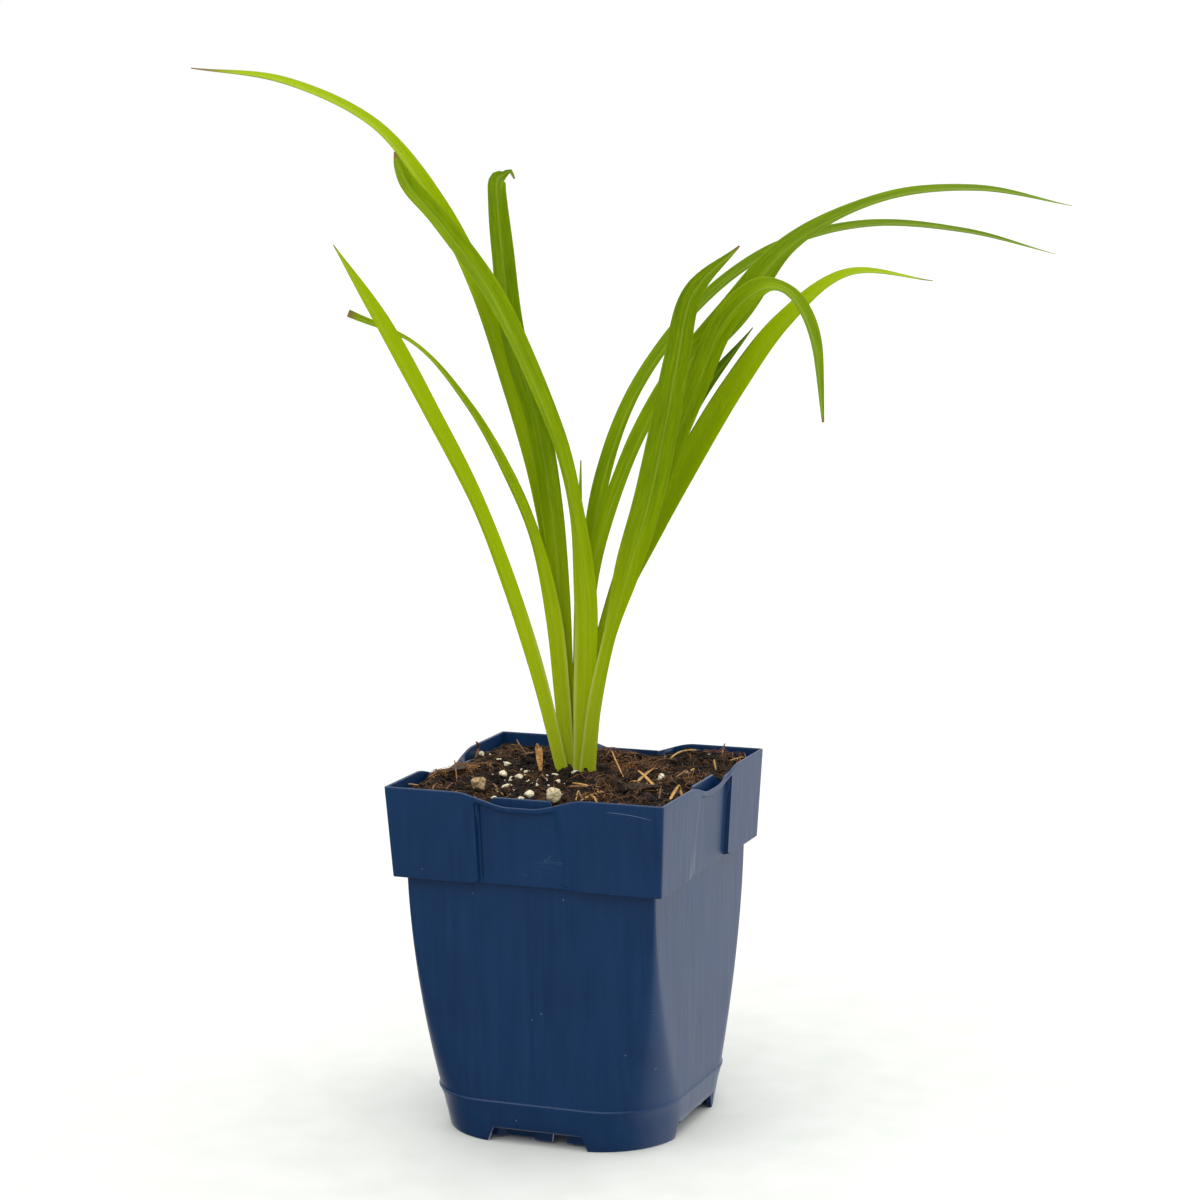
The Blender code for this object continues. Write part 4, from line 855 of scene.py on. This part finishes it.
# Crown and roots: pale flesh with brown skin, hidden by the soil; the frame's own solid keeps its shape.
def makeCrownFlesh():
    material, tree, shader = newMaterial("crown_flesh_grown", Roughness=0.6)
    place = addNode(tree, "ShaderNodeTexCoord").outputs["Object"]
    spots = addNode(tree, "ShaderNodeTexNoise", {"Scale": 350.0, "Detail": 4.0}, {"Vector": place})
    colour = addNode(tree, "ShaderNodeValToRGB", {"ramp": (
        (0.35, "#8f7a45"), (0.55, "#c3b271"), (0.7, "#d6cc95"))}, {0: spots.outputs[0]})
    tree.links.new(colour.outputs[0], shader.inputs["Base Color"])
    bump = addNode(tree, "ShaderNodeBump", {"Strength": 0.4, "Distance": 0.0003}, {"Height": spots.outputs[0]})
    tree.links.new(bump.outputs[0], shader.inputs["Normal"])
    return material


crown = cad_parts["crown_and_roots"]
crown.data.materials.clear()
crown.data.materials.append(makeCrownFlesh())


# Loose pieces. Stones and grains: a lumpy ball on a grid of latitude and longitude, pushed in and out by noise.
def makeSpeckled(name, stops, sizeMm, bumpMm, roughness=0.9):
    # A dry mineral or woody surface: noise of the given grain size through a ramp of colours, with a bump.
    material, tree, shader = newMaterial(name, Roughness=roughness)
    place = addNode(tree, "ShaderNodeTexCoord").outputs["Object"]
    grain = addNode(tree, "ShaderNodeTexNoise", {"Scale": 1000.0 / sizeMm, "Detail": 5.0, "Roughness": 0.7},
                    {"Vector": place})
    colour = addNode(tree, "ShaderNodeValToRGB", {"ramp": stops}, {0: grain.outputs[0]})
    tree.links.new(colour.outputs[0], shader.inputs["Base Color"])
    bump = addNode(tree, "ShaderNodeBump", {"Strength": 0.8, "Distance": bumpMm * metresPerMm},
                   {"Height": grain.outputs[0]})
    tree.links.new(bump.outputs[0], shader.inputs["Normal"])
    return material


def lumpyBall(centre, halves, turn, seed, rows=30, columns=44, lumps=0.16, pits=0.07, axis=0.0, facets=0):
    # Ellipsoid rings from pole to pole; each point moves along its own spoke by coarse noise, ridges and pits, and
    # stops where the spoke meets one of the broken facets, which are planes at random about the middle.
    latitude = np.linspace(-math.pi / 2 + 0.06, math.pi / 2 - 0.06, rows)[:, None]
    longitude = np.linspace(0.0, 2 * math.pi, columns, endpoint=False)[None]
    spokes = np.stack([np.cos(latitude) * np.cos(longitude), np.cos(latitude) * np.sin(longitude),
                       np.sin(latitude) * np.ones_like(longitude)], axis=-1)
    swell = 1.0 + lumps * valueNoise(spokes + seed, 0.9, seed) + lumps * 0.5 * valueNoise(spokes + seed, 0.4, seed + 1)
    swell = swell - pits * smoothStep(valueNoise(spokes + seed, 0.22, seed + 2), 0.15, 0.7)
    swell = swell + axis * np.cos(longitude * 9 + 1.5 * valueNoise(spokes, 0.8, seed + 3))
    if facets:
        chance = np.random.default_rng(seed)
        ways = unit(chance.normal(0.0, 1.0, (facets, 3)))
        cut = chance.uniform(0.68, 0.95, facets) / np.maximum(spokes @ ways.T, 0.25)
        swell = np.minimum(swell, cut.min(axis=-1) + 0.04 * (swell - 1.0))
    points = spokes * swell[..., None] * np.asarray(halves)
    cosine, sine = math.cos(turn), math.sin(turn)
    points = points @ np.array([[cosine, sine, 0], [-sine, cosine, 0], [0, 0, 1]])
    return points + np.asarray(centre)


def boxInPot(node):
    # A node's middle and half sizes, in mm from the middle of the pot's base.
    low, high = (np.array(corner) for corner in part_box(node))
    return ((low + high) / 2 - potMiddle) / metresPerMm, (high - low) / 2 / metresPerMm


pumiceMaterial = makeSpeckled("pumice_raw_tan", ((0.36, "#4a3522"), (0.46, "#9a7d55"), (0.62, "#cfb78c")), 0.9, 0.3)
paleMaterial = makeSpeckled("pumice_raw_pale", ((0.36, "#6a5132"), (0.44, "#b7a47a"), (0.6, "#e2d8b4")), 1.0, 0.3)
perliteMaterial = makeSpeckled("perlite_expanded_cream", ((0.3, "#94886a"), (0.46, "#d8cda9"), (0.62, "#f4eed8")),
                               0.9, 0.15)
barkMaterial = makeSpeckled("bark_weathered", ((0.34, "#17100a"), (0.5, "#33241a"), (0.68, "#5e4430")), 1.2, 0.25)
strawMaterial = makeSpeckled("straw_dry_golden", ((0.3, "#8a6128"), (0.5, "#b98a45"), (0.7, "#dcb871")), 0.9, 0.05,
                             0.55)
twigMaterial = makeSpeckled("twig_dry_brown", ((0.34, "#3a2414"), (0.5, "#6e4a2a"), (0.68, "#a1733f")), 1.4, 0.06, 0.7)
fibreMaterial = makeSpeckled("peat_fibre_dry", ((0.34, "#3a2412"), (0.5, "#7a5028"), (0.68, "#bd8c4e")), 3.5, 0.04, 0.7)

for seed, stoneName in enumerate(("pumice_stone_left", "pumice_stone_front"), 3):
    stoneMiddle, stoneHalves = boxInPot(stoneName)
    stonePoints = lumpyBall(stoneMiddle, stoneHalves * 1.12, 0.2, seed, 44, 60, 0.16, 0.16, 0.02, 9)
    makePiece(stoneName.replace("stone", "lump"), *closedLoft(stonePoints),
              pumiceMaterial if seed == 3 else paleMaterial, "pumice", [stoneName])
for seed in range(1, 6):
    grainName = f"perlite_grain_{seed}"
    grainMiddle, grainHalves = boxInPot(grainName)
    grainPoints = lumpyBall(grainMiddle, grainHalves * 1.15, 0.0, seed + 20, 20, 28, 0.25, 0.05, 0.0, 9)
    makePiece(f"perlite_lump_{seed}", *closedLoft(grainPoints), perliteMaterial, "perlite", [grainName])
print("stones and grains made")


def carried(paths, widths, heights, sides, lift):
    # Strips or threads: ellipse profiles of the given half width and height carried along many paths at once.
    # Paths are (count, stations, 3); the profile's flat side lies towards the sky.
    along = unit(np.gradient(paths, axis=1))
    across = unit(np.cross(along, np.array([0.0, 0.0, 1.0])) + 1e-6)
    above = np.cross(across, along)
    angle = np.linspace(0.0, 2 * math.pi, sides, endpoint=False) + 0.3
    ring = (np.cos(angle)[None, None, :, None] * across[:, :, None] * widths[:, :, None, None]
            + np.sin(angle)[None, None, :, None] * above[:, :, None] * heights[:, :, None, None])
    points = paths[:, :, None] + ring + (0.0, 0.0, lift)
    count, stations = paths.shape[:2]
    perPath = stations * sides
    column = np.arange(sides)
    quads = gridFaces(stations, sides)[None] + (np.arange(count) * perPath)[:, None, None]
    fan = np.stack([np.full(sides - 2, 0), column[2:], column[1:-1]], axis=-1)
    ends = np.concatenate([fan, (stations - 1) * sides + fan[:, ::-1]])
    triangles = ends[None] + (np.arange(count) * perPath)[:, None, None]
    return points.reshape(-1, 3), quads.reshape(-1, 4), triangles.reshape(-1, 3)


def threadPaths(starts, headings, lengths, bends, rises, stations):
    # Each thread starts on the soil, runs along its heading, bends evenly, and goes straight from the soil's level
    # at its start to that at its end, with an arch of a sine of its share that clears most of the soil between.
    t = np.linspace(0.0, 1.0, stations)[None]
    heading = headings[:, None] + bends[:, None] * t
    step = lengths[:, None] / (stations - 1)
    x = starts[:, :1] + np.cumsum(np.cos(heading) * step, axis=1) - np.cos(heading[:, :1]) * step
    y = starts[:, 1:2] + np.cumsum(np.sin(heading) * step, axis=1) - np.sin(heading[:, :1]) * step
    flat = insideWall(np.stack([x, y], axis=-1))
    x, y = flat[..., 0], flat[..., 1]
    level = soilTop(x, y)
    line = level[:, :1] + (level[:, -1:] - level[:, :1]) * t
    hidden = np.clip((level - line).max(axis=1), 0.0, 1.0)
    return np.stack([x, y, line + (rises + 0.7 * hidden)[:, None] * np.sin(math.pi * t)], axis=-1)


# Straw and stems that the photograph shows one by one: pixels along each, half width, half thickness and the
# height of each end over the soil. Golden straw comes first, and brown twigs and roots after it.
strawPlan = {
    "tan_thread": (((612, 750), (617, 762), (624, 777)), 0.28, 0.2, (6.5, 0.2)),
    "gold_long": (((634, 780), (643, 774), (653, 769)), 0.6, 0.25, (0.3, 2.6)),
    "gold_cross": (((638, 772), (647, 779), (657, 790)), 0.55, 0.25, (3.4, 0.3)),
    "gold_short": (((646, 785), (651, 784), (656, 783)), 0.4, 0.2, (0.3, 0.4)),
    "gold_flat": (((628, 780), (634, 782), (641, 784)), 0.5, 0.2, (0.3, 0.3)),
    "curved_stem": (((671, 762), (681, 755), (696, 753)), 0.35, 0.3, (0.2, 2.2)),
    "edge_bit": (((686, 771), (690, 769), (694, 767)), 0.6, 0.25, (0.3, 1.0)),
    "tent_left": (((670, 802), (674, 794), (679, 786)), 0.6, 0.25, (0.0, 3.8)),
    "tent_right": (((679, 786), (680, 790), (682, 797)), 0.5, 0.25, (3.8, 0.2)),
    "bark_strip_a": (((573, 783), (588, 786), (603, 791)), 0.65, 0.3, (0.7, 0.5)),
    "bark_strip_b": (((578, 787), (590, 789), (600, 793)), 0.5, 0.25, (0.5, 0.3)),
    "branch_a": (((596, 793), (590, 797), (581, 802)), 0.4, 0.3, (0.7, 0.6)),
    "branch_b": (((590, 797), (594, 800), (598, 804)), 0.35, 0.3, (0.6, 0.8)),
    "branch_c": (((580, 788), (578, 795), (576, 802)), 0.25, 0.2, (0.6, 0.8)),
    "front_left_a": (((493, 786), (498, 789), (503, 792)), 0.35, 0.25, (0.8, 0.3)),
    "left_thread_a": (((402, 784), (409, 786), (418, 790)), 0.3, 0.2, (1.0, 0.5)),
    "left_thread_b": (((447, 770), (458, 769), (480, 772)), 0.35, 0.25, (0.8, 0.6)),
    "left_thread_c": (((433, 777), (444, 770), (455, 766)), 0.4, 0.25, (0.6, 1.0)),
    "right_loop": (((729, 762), (737, 757), (743, 753)), 0.28, 0.2, (0.2, 2.2)),
    "back_strip": (((634, 758), (641, 757), (648, 756)), 0.4, 0.2, (0.6, 0.8)),
    "back_stick": (((714, 760), (715, 764), (716, 768)), 0.3, 0.2, (2.2, 0.2)),
}
twigPlan = {
    "rim_twig": (((457, 737), (463, 745), (472, 756)), 0.5, 0.3, (5.4, 0.2)),
    "stub_stem": (((542, 769), (544, 774), (547, 779)), 0.28, 0.25, (2.6, 0.0)),
    "brown_twig": (((611, 747), (607, 753), (602, 758)), 0.3, 0.2, (3.2, 0.3)),
    "root_behind_stub": (((517, 738), (522, 744), (529, 749)), 0.3, 0.25, (3.6, 0.8)),
    "root_beside_stub": (((521, 758), (526, 754), (534, 749)), 0.4, 0.3, (0.4, 2.2)),
    "heap_stem": (((455, 762), (456, 772), (457, 783)), 0.25, 0.2, (5.0, 0.3)),
    "heap_arc_a": (((428, 779), (444, 768), (463, 758)), 0.35, 0.25, (0.4, 3.4)),
    "heap_arc_b": (((430, 775), (446, 769), (464, 770)), 0.3, 0.2, (0.6, 2.4)),
    "heap_arc_c": (((433, 790), (434, 786), (438, 783)), 0.3, 0.2, (0.4, 0.8)),
    "heap_arc_d": (((441, 791), (446, 788), (453, 786)), 0.3, 0.2, (0.3, 0.6)),
    "left_root": (((491, 782), (494, 786), (499, 791)), 0.35, 0.25, (0.8, 0.3)),
    "chip_beside_clod": (((676, 775), (681, 772), (687, 769)), 0.5, 0.25, (0.5, 0.9)),
    "back_fibre": (((725, 745), (723, 752), (722, 760)), 0.28, 0.22, (3.8, 0.2)),
    "front_root": (((583, 802), (580, 796), (579, 790)), 0.3, 0.2, (0.3, 2.4)),
    "right_front_root": (((659, 800), (660, 795), (661, 790)), 0.3, 0.2, (0.2, 2.2)),
}


def makeStraws(name, plan, material):
    # Like the threads, but each along its own pixels, which are lowered to the ground under a lifted end.
    paths = []
    widths, heights = [], []
    t = np.linspace(0.0, 1.0, 9)
    for pixels, halfWidth, halfThick, (startRise, endRise) in plan.values():
        lifts = np.array([startRise, (startRise + endRise) / 2, endRise])
        a, b, c = onSoilPlane(np.array(pixels) + lifts[:, None] * (0.0, view["pixelsPerMm"]))
        flat = ((1 - t) ** 2)[:, None] * a + (2 * t * (1 - t))[:, None] * (2 * b - (a + c) / 2) + (t ** 2)[:, None] * c
        flat = insideWall(flat)
        lift = startRise + (endRise - startRise) * t
        level = soilTop(flat[:, 0], flat[:, 1])
        line = level[0] + (level[-1] - level[0]) * t
        hidden = np.clip((level - line - lift).max(), 0.0, 1.4)
        paths.append(np.column_stack([flat, line + 0.15 + lift + hidden * np.sin(math.pi * t)]))
        taper = 0.55 + 0.45 * np.sin(math.pi * np.clip(t * 0.8 + 0.15, 0, 1))
        widths.append(halfWidth * taper)
        heights.append(halfThick * taper)
    points, quads, triangles = carried(np.array(paths), np.array(widths), np.array(heights), 8, 0.0)
    makePiece(name, points, quads, triangles, material, "dry_leaf")


makeStraws("golden_straw", strawPlan, strawMaterial)
makeStraws("brown_twigs", twigPlan, twigMaterial)

# Loose fibres, fine grit and crumbs are drawn at random places, the same at each run.
scatter = dict(
    fibres=300, heaps=(((449, 771), (5.5, 5.0), 420), ((612, 752), (3.5, 5.0), 90), ((640, 764), (4.5, 4.0), 110),
                       ((723, 752), (2.5, 3.0), 40), ((741, 760), (2.0, 4.0), 30), ((686, 781), (4.0, 4.0), 60),
                       ((530, 753), (3.0, 3.0), 40), ((600, 800), (5.0, 3.0), 40)),
    crumbs=4600, crumbMm=(0.22, 1.1), dryCrumbs=(((634, 765), (3.5, 5.0), 380), ((686, 782), (3.5, 5.5), 420),
                                                ((449, 773), (5.0, 5.0), 300), ((612, 758), (3.0, 4.0), 160)),
    grits=60, gritMm=(0.2, 0.5), gritPixel=(522, 780), gritReach=(9.0, 9.0), strayGrits=22)
draw = np.random.default_rng(7)


def scattered(count, heap=None, reach=None):
    # Places evenly over the soil's square, or as a bell-shaped heap about a pixel, off the clump itself.
    limit = pot["rimHalf"] - soil["edgeClear"]
    if heap is None:
        places = draw.uniform(-limit, limit, (count, 2))
    else:
        places = onSoilPlane(heap) + draw.normal(0.0, 1.0, (count, 2)) * reach
    places = insideWall(places)
    off = places - clumpPlace[:2]
    distance = np.maximum(np.hypot(off[:, 0], off[:, 1]), 1e-3)
    push = np.maximum(8.0 - distance, 0.0) / distance
    return places + off * push[:, None]


def makeFibres():
    heaps = [scattered(number, pixel, reach) for pixel, reach, number in scatter["heaps"]]
    places = np.concatenate([scattered(scatter["fibres"]), *heaps])
    count = len(places)
    lengths = draw.gamma(3.0, 1.1, count) + 1.0
    paths = threadPaths(places, draw.uniform(0, 2 * math.pi, count), lengths, draw.normal(0.0, 0.9, count),
                        np.abs(draw.normal(0.0, 0.5, count)), 7)
    inHeap = np.arange(count) >= scatter["fibres"]
    paths[..., 2] += np.where(inHeap, draw.uniform(0.0, 1.2, count), draw.uniform(-0.05, 0.25, count))[:, None]
    tilt = draw.normal(0.0, 0.09, count)[:, None] * np.linspace(0, 1, 7)[None] * lengths[:, None]
    paths[..., 2] += np.abs(tilt)
    widths = draw.uniform(0.06, 0.15, count)[:, None] * np.linspace(1.0, 0.55, 7)[None]
    points, quads, triangles = carried(paths, widths, widths * 0.8, 4, 0.0)
    makePiece("peat_fibres", points, quads, triangles, fibreMaterial, "bark")
    return count


def facetedLumps(places, sizes, squash):
    # Twenty-faced lumps, each turned, stretched and jittered in its own way.
    golden = (1 + math.sqrt(5)) / 2
    corners = np.array([(-1, golden, 0), (1, golden, 0), (-1, -golden, 0), (1, -golden, 0), (0, -1, golden),
                        (0, 1, golden), (0, -1, -golden), (0, 1, -golden), (golden, 0, -1), (golden, 0, 1),
                        (-golden, 0, -1), (-golden, 0, 1)]) / math.sqrt(1 + golden ** 2)
    faces = np.array([(0, 11, 5), (0, 5, 1), (0, 1, 7), (0, 7, 10), (0, 10, 11), (1, 5, 9), (5, 11, 4), (11, 10, 2),
                      (10, 7, 6), (7, 1, 8), (3, 9, 4), (3, 4, 2), (3, 2, 6), (3, 6, 8), (3, 8, 9), (4, 9, 5),
                      (2, 4, 11), (6, 2, 10), (8, 6, 7), (9, 8, 1)])
    count = len(places)
    turn = draw.uniform(0, 2 * math.pi, count)
    stretch = draw.uniform(0.65, 1.35, (count, 1, 3)) * (1.0, 1.0, squash)
    shape = corners[None] * draw.uniform(0.75, 1.2, (count, 12, 1)) * stretch * sizes[:, None, None]
    cosine, sine = np.cos(turn)[:, None], np.sin(turn)[:, None]
    shape = np.stack([shape[..., 0] * cosine - shape[..., 1] * sine, shape[..., 0] * sine + shape[..., 1] * cosine,
                      shape[..., 2]], axis=-1)
    level = soilTop(places[:, 0], places[:, 1]) + sizes * 0.25
    points = shape + np.column_stack([places, level])[:, None]
    return points.reshape(-1, 3), (faces[None] + (np.arange(count) * 12)[:, None, None]).reshape(-1, 3)


def makeCrumbs():
    small, large = scatter["crumbMm"]
    places = scattered(scatter["crumbs"])
    sizes = small + (large - small) * draw.power(0.45, len(places)) ** 2.2
    points, triangles = facetedLumps(places, sizes, 0.8)
    makePiece("peat_crumbs", points, [], triangles, makePeat("peat_crumb_moist", 0.0), "soil", sharpAngle=0)
    heaps = [scattered(number, pixel, reach) for pixel, reach, number in scatter["dryCrumbs"]]
    places = np.concatenate(heaps)
    points, triangles = facetedLumps(places, draw.uniform(0.25, 0.75, len(places)), 0.8)
    makePiece("dry_crumbs", points, [], triangles, makePeat("peat_crumb_drier", 0.12), "soil", sharpAngle=0)
    small, large = scatter["gritMm"]
    places = np.concatenate([scattered(scatter["grits"], scatter["gritPixel"], scatter["gritReach"]),
                             scattered(scatter["strayGrits"])])
    sizes = draw.uniform(small, large, len(places))
    points, triangles = facetedLumps(places, sizes, 0.8)
    makePiece("perlite_grit", points, [], triangles, perliteMaterial, "perlite", sharpAngle=50)


print("fibres:", makeFibres())
makeCrumbs()

# Small perlite that the photograph shows one by one: pixel, half length, half width and turn in degrees.
gritPlan = (
    (504, 768, 1.7, 0.4, 12), (498, 759, 1.3, 0.4, 5), (481, 753, 1.3, 0.9, 0), (511, 777, 0.8, 0.9, 0),
    (530, 772, 0.9, 0.9, 0), (526, 775, 0.8, 0.5, 40), (512, 781, 1.2, 1.0, 0), (506, 785, 2.4, 0.7, 60),
    (494, 797, 1.2, 0.8, 30), (504, 800, 1.4, 0.8, -20), (521, 801, 0.9, 0.7, 0), (537, 786, 0.7, 0.5, 0),
    (515, 791, 1.0, 0.3, 0),
    (568, 779, 0.9, 0.9, 0), (558, 785, 0.8, 0.9, 0), (546, 778, 1.0, 0.9, 0), (555, 774, 1.3, 0.7, 10),
    (576, 774, 1.7, 0.8, -10), (622, 795, 0.4, 0.4, 0), (709, 757, 0.4, 0.4, 0), (703, 753, 0.4, 0.4, 0),
    (701, 760, 0.4, 0.4, 0), (656, 761, 0.35, 0.35, 0), (659, 779, 0.5, 0.4, 0))


def makeNamedGrit():
    points, quads, triangles = [], [], []
    total = 0
    for seed, (pixelX, pixelY, long, wide, turn) in enumerate(gritPlan, 40):
        x, y = onSoilPlane((pixelX, pixelY))
        level = float(soilTop(np.array(x), np.array(y)))
        ball = lumpyBall((x, y, level + wide * 0.35), (long, wide, wide * 0.9), math.radians(turn) + fanTurn, seed,
                         14, 20, 0.25, 0.05, 0.0, 9)
        p, q, t = closedLoft(ball)
        points.append(p)
        quads.append(q + total)
        triangles.append(t + total)
        total += len(p)
    makePiece("perlite_bits", np.concatenate(points), np.concatenate(quads), np.concatenate(triangles),
              perliteMaterial, "perlite")


makeNamedGrit()


# Bark chips and the dry stub stand where the frame has them.
def makeChips():
    turns = {"bark_chip_1": 25.0, "bark_chip_2": 20.0, "bark_chip_3": 75.0, "bark_chip_4": 18.0}
    longs = {"bark_chip_1": (4.4, 2.4), "bark_chip_2": (5.6, 1.9), "bark_chip_3": (5.2, 1.5), "bark_chip_4": (4.6, 1.2)}
    for seed, name in enumerate(turns, 60):
        middle, halves = boxInPot(name)
        long, wide = longs[name]
        chip = lumpyBall(middle, (long, wide, halves[2]), math.radians(turns[name]), seed, 36, 60, 0.3, 0.12, 0.06, 11)
        material = twigMaterial if name == "bark_chip_4" else barkMaterial
        makePiece(name.replace("chip", "flake"), *closedLoft(chip), material, "bark", [name])


makeChips()

stub = dict(stations=34, widths=((0.0, 0.45), (0.3, 0.8), (0.72, 1.15), (0.9, 1.0), (1.0, 0.35)), thick=0.3,
            lean=0.6, split=0.5, curl=0.5)


def makeStub():
    # A dry strip, widening upwards and curled like a gutter (forward by a square of its share across), wrinkled
    # along its length and torn at the top.
    middle, halves = boxInPot("dry_leaf_stub")
    t = np.linspace(0.0, 1.0, stub["stations"])[:, None]
    foot, tip = middle - (0, 0, halves[2]), middle + (0, 0, halves[2])
    centre = foot + (tip - foot) * t + fanToPot(-stub["lean"], 0.0, 0.0) * (t - 0.5)
    angle = np.linspace(0.0, 2 * math.pi, 24, endpoint=False)[None]
    width = np.interp(t, *zip(*stub["widths"]))
    wrinkle = 1.0 + 0.16 * np.cos(angle * 7) * (1 - 0.5 * t) + 0.1 * valueNoise(
        np.stack(np.broadcast_arrays(t * 4, np.cos(angle), np.sin(angle)), -1), 0.35, 9)
    across, deep = fanToPot(1.0, 0.0, 0.0), fanToPot(0.0, 1.0, 0.0)
    ring = (across * (np.cos(angle) * width * wrinkle)[..., None]
            + deep * (np.sin(angle) * stub["thick"] * wrinkle + stub["curl"] * np.cos(angle) ** 2 * width)[..., None])
    rings = centre[:, None] + ring
    rings[-4:, :, 2] += stub["split"] * valueNoise(rings[-4:] * (1, 1, 0), 0.5, 5) * np.arange(1, 5)[:, None]
    # Rings that climb run anticlockwise seen from above, as the across and front directions do in reverse.
    points, quads, triangles = closedLoft(rings[:, ::-1])
    material = makeSpeckled("daylily_leaf_dried", ((0.36, "#85582a"), (0.5, "#cb9752"), (0.66, "#e8c488")), 1.3, 0.08)
    makePiece("dried_stub", points, quads, triangles, material, "dry_leaf", ["dry_leaf_stub"])


makeStub()
print("loose pieces made")


# Stage: a matt white floor, and a world that is bright behind the plant's right and dim elsewhere, as a studio
# with a lit backdrop is, so that the pot's right side mirrors the backdrop and its front stays deep blue.
stage = dict(floorHalf=9.0, backBright=1.12, frontDim=0.08, backTurn=-45.0, keyStrength=1.85, keyAngle=80.0,
             topStrength=1.5, topAngle=160.0)


def makeFloor():
    material, tree, shader = newMaterial("studio_paper_matt", Roughness=0.95)
    place = addNode(tree, "ShaderNodeTexCoord").outputs["Object"]
    tooth = addNode(tree, "ShaderNodeTexNoise", {"Scale": 60.0, "Detail": 3.0}, {"Vector": place})
    colour = addNode(tree, "ShaderNodeValToRGB", {"ramp": ((0.3, "#dcdfd9"), (0.7, "#e2e4df"))}, {0: tooth.outputs[0]})
    tree.links.new(colour.outputs[0], shader.inputs["Base Color"])
    half = stage["floorHalf"]
    mesh = bpy.data.meshes.new("floor")
    mesh.from_pydata([(-half, -half, 0), (half, -half, 0), (half, half, 0), (-half, half, 0)], [], [(0, 1, 2, 3)])
    mesh.materials.append(material)
    floor = bpy.data.objects.new("floor", mesh)
    bpy.context.scene.collection.objects.link(floor)
    floor.visible_glossy = False


def makeLight(name, azimuth, elevation, strength, angle):
    # A wide sun from a compass azimuth, where 0 is the camera's side, and an elevation, in degrees.
    data = bpy.data.lights.new(name, "SUN")
    data.energy = strength
    data.angle = math.radians(angle)
    light = bpy.data.objects.new(name, data)
    light.rotation_euler = (math.radians(90.0 - elevation), 0.0, fanTurn + math.radians(azimuth))
    bpy.context.scene.collection.objects.link(light)


def makeWorld():
    world = bpy.data.worlds.new("studio")
    world.use_nodes = True
    tree = world.node_tree
    tree.nodes.clear()
    direction = addNode(tree, "ShaderNodeTexCoord").outputs["Generated"]
    turn = fanTurn + math.radians(stage["backTurn"])
    ahead = (-math.sin(turn), math.cos(turn), 0.0)
    share = addNode(tree, "ShaderNodeVectorMath", {"operation": "DOT_PRODUCT", 1: ahead}, {0: direction})
    bright = addNode(tree, "ShaderNodeMapRange", {
        "interpolation_type": "SMOOTHSTEP", "From Min": -0.15, "From Max": 0.5, "To Min": stage["frontDim"],
        "To Max": stage["backBright"]}, {"Value": share.outputs["Value"]})
    seen = addNode(tree, "ShaderNodeLightPath").outputs["Is Camera Ray"]
    strength = addNode(tree, "ShaderNodeMix", {3: 1.0}, {0: seen, 2: bright})
    background = addNode(tree, "ShaderNodeBackground", {"Color": (1.0, 1.0, 1.0, 1.0)}, {"Strength": strength})
    addNode(tree, "ShaderNodeOutputWorld", None, {"Surface": background})
    bpy.context.scene.world = world


makeFloor()
makeWorld()
makeLight("key", -30.0, 60.0, stage["keyStrength"], stage["keyAngle"])
makeLight("top", 10.0, 82.0, stage["topStrength"], stage["topAngle"])
bpy.context.scene.view_settings.view_transform = "Standard"
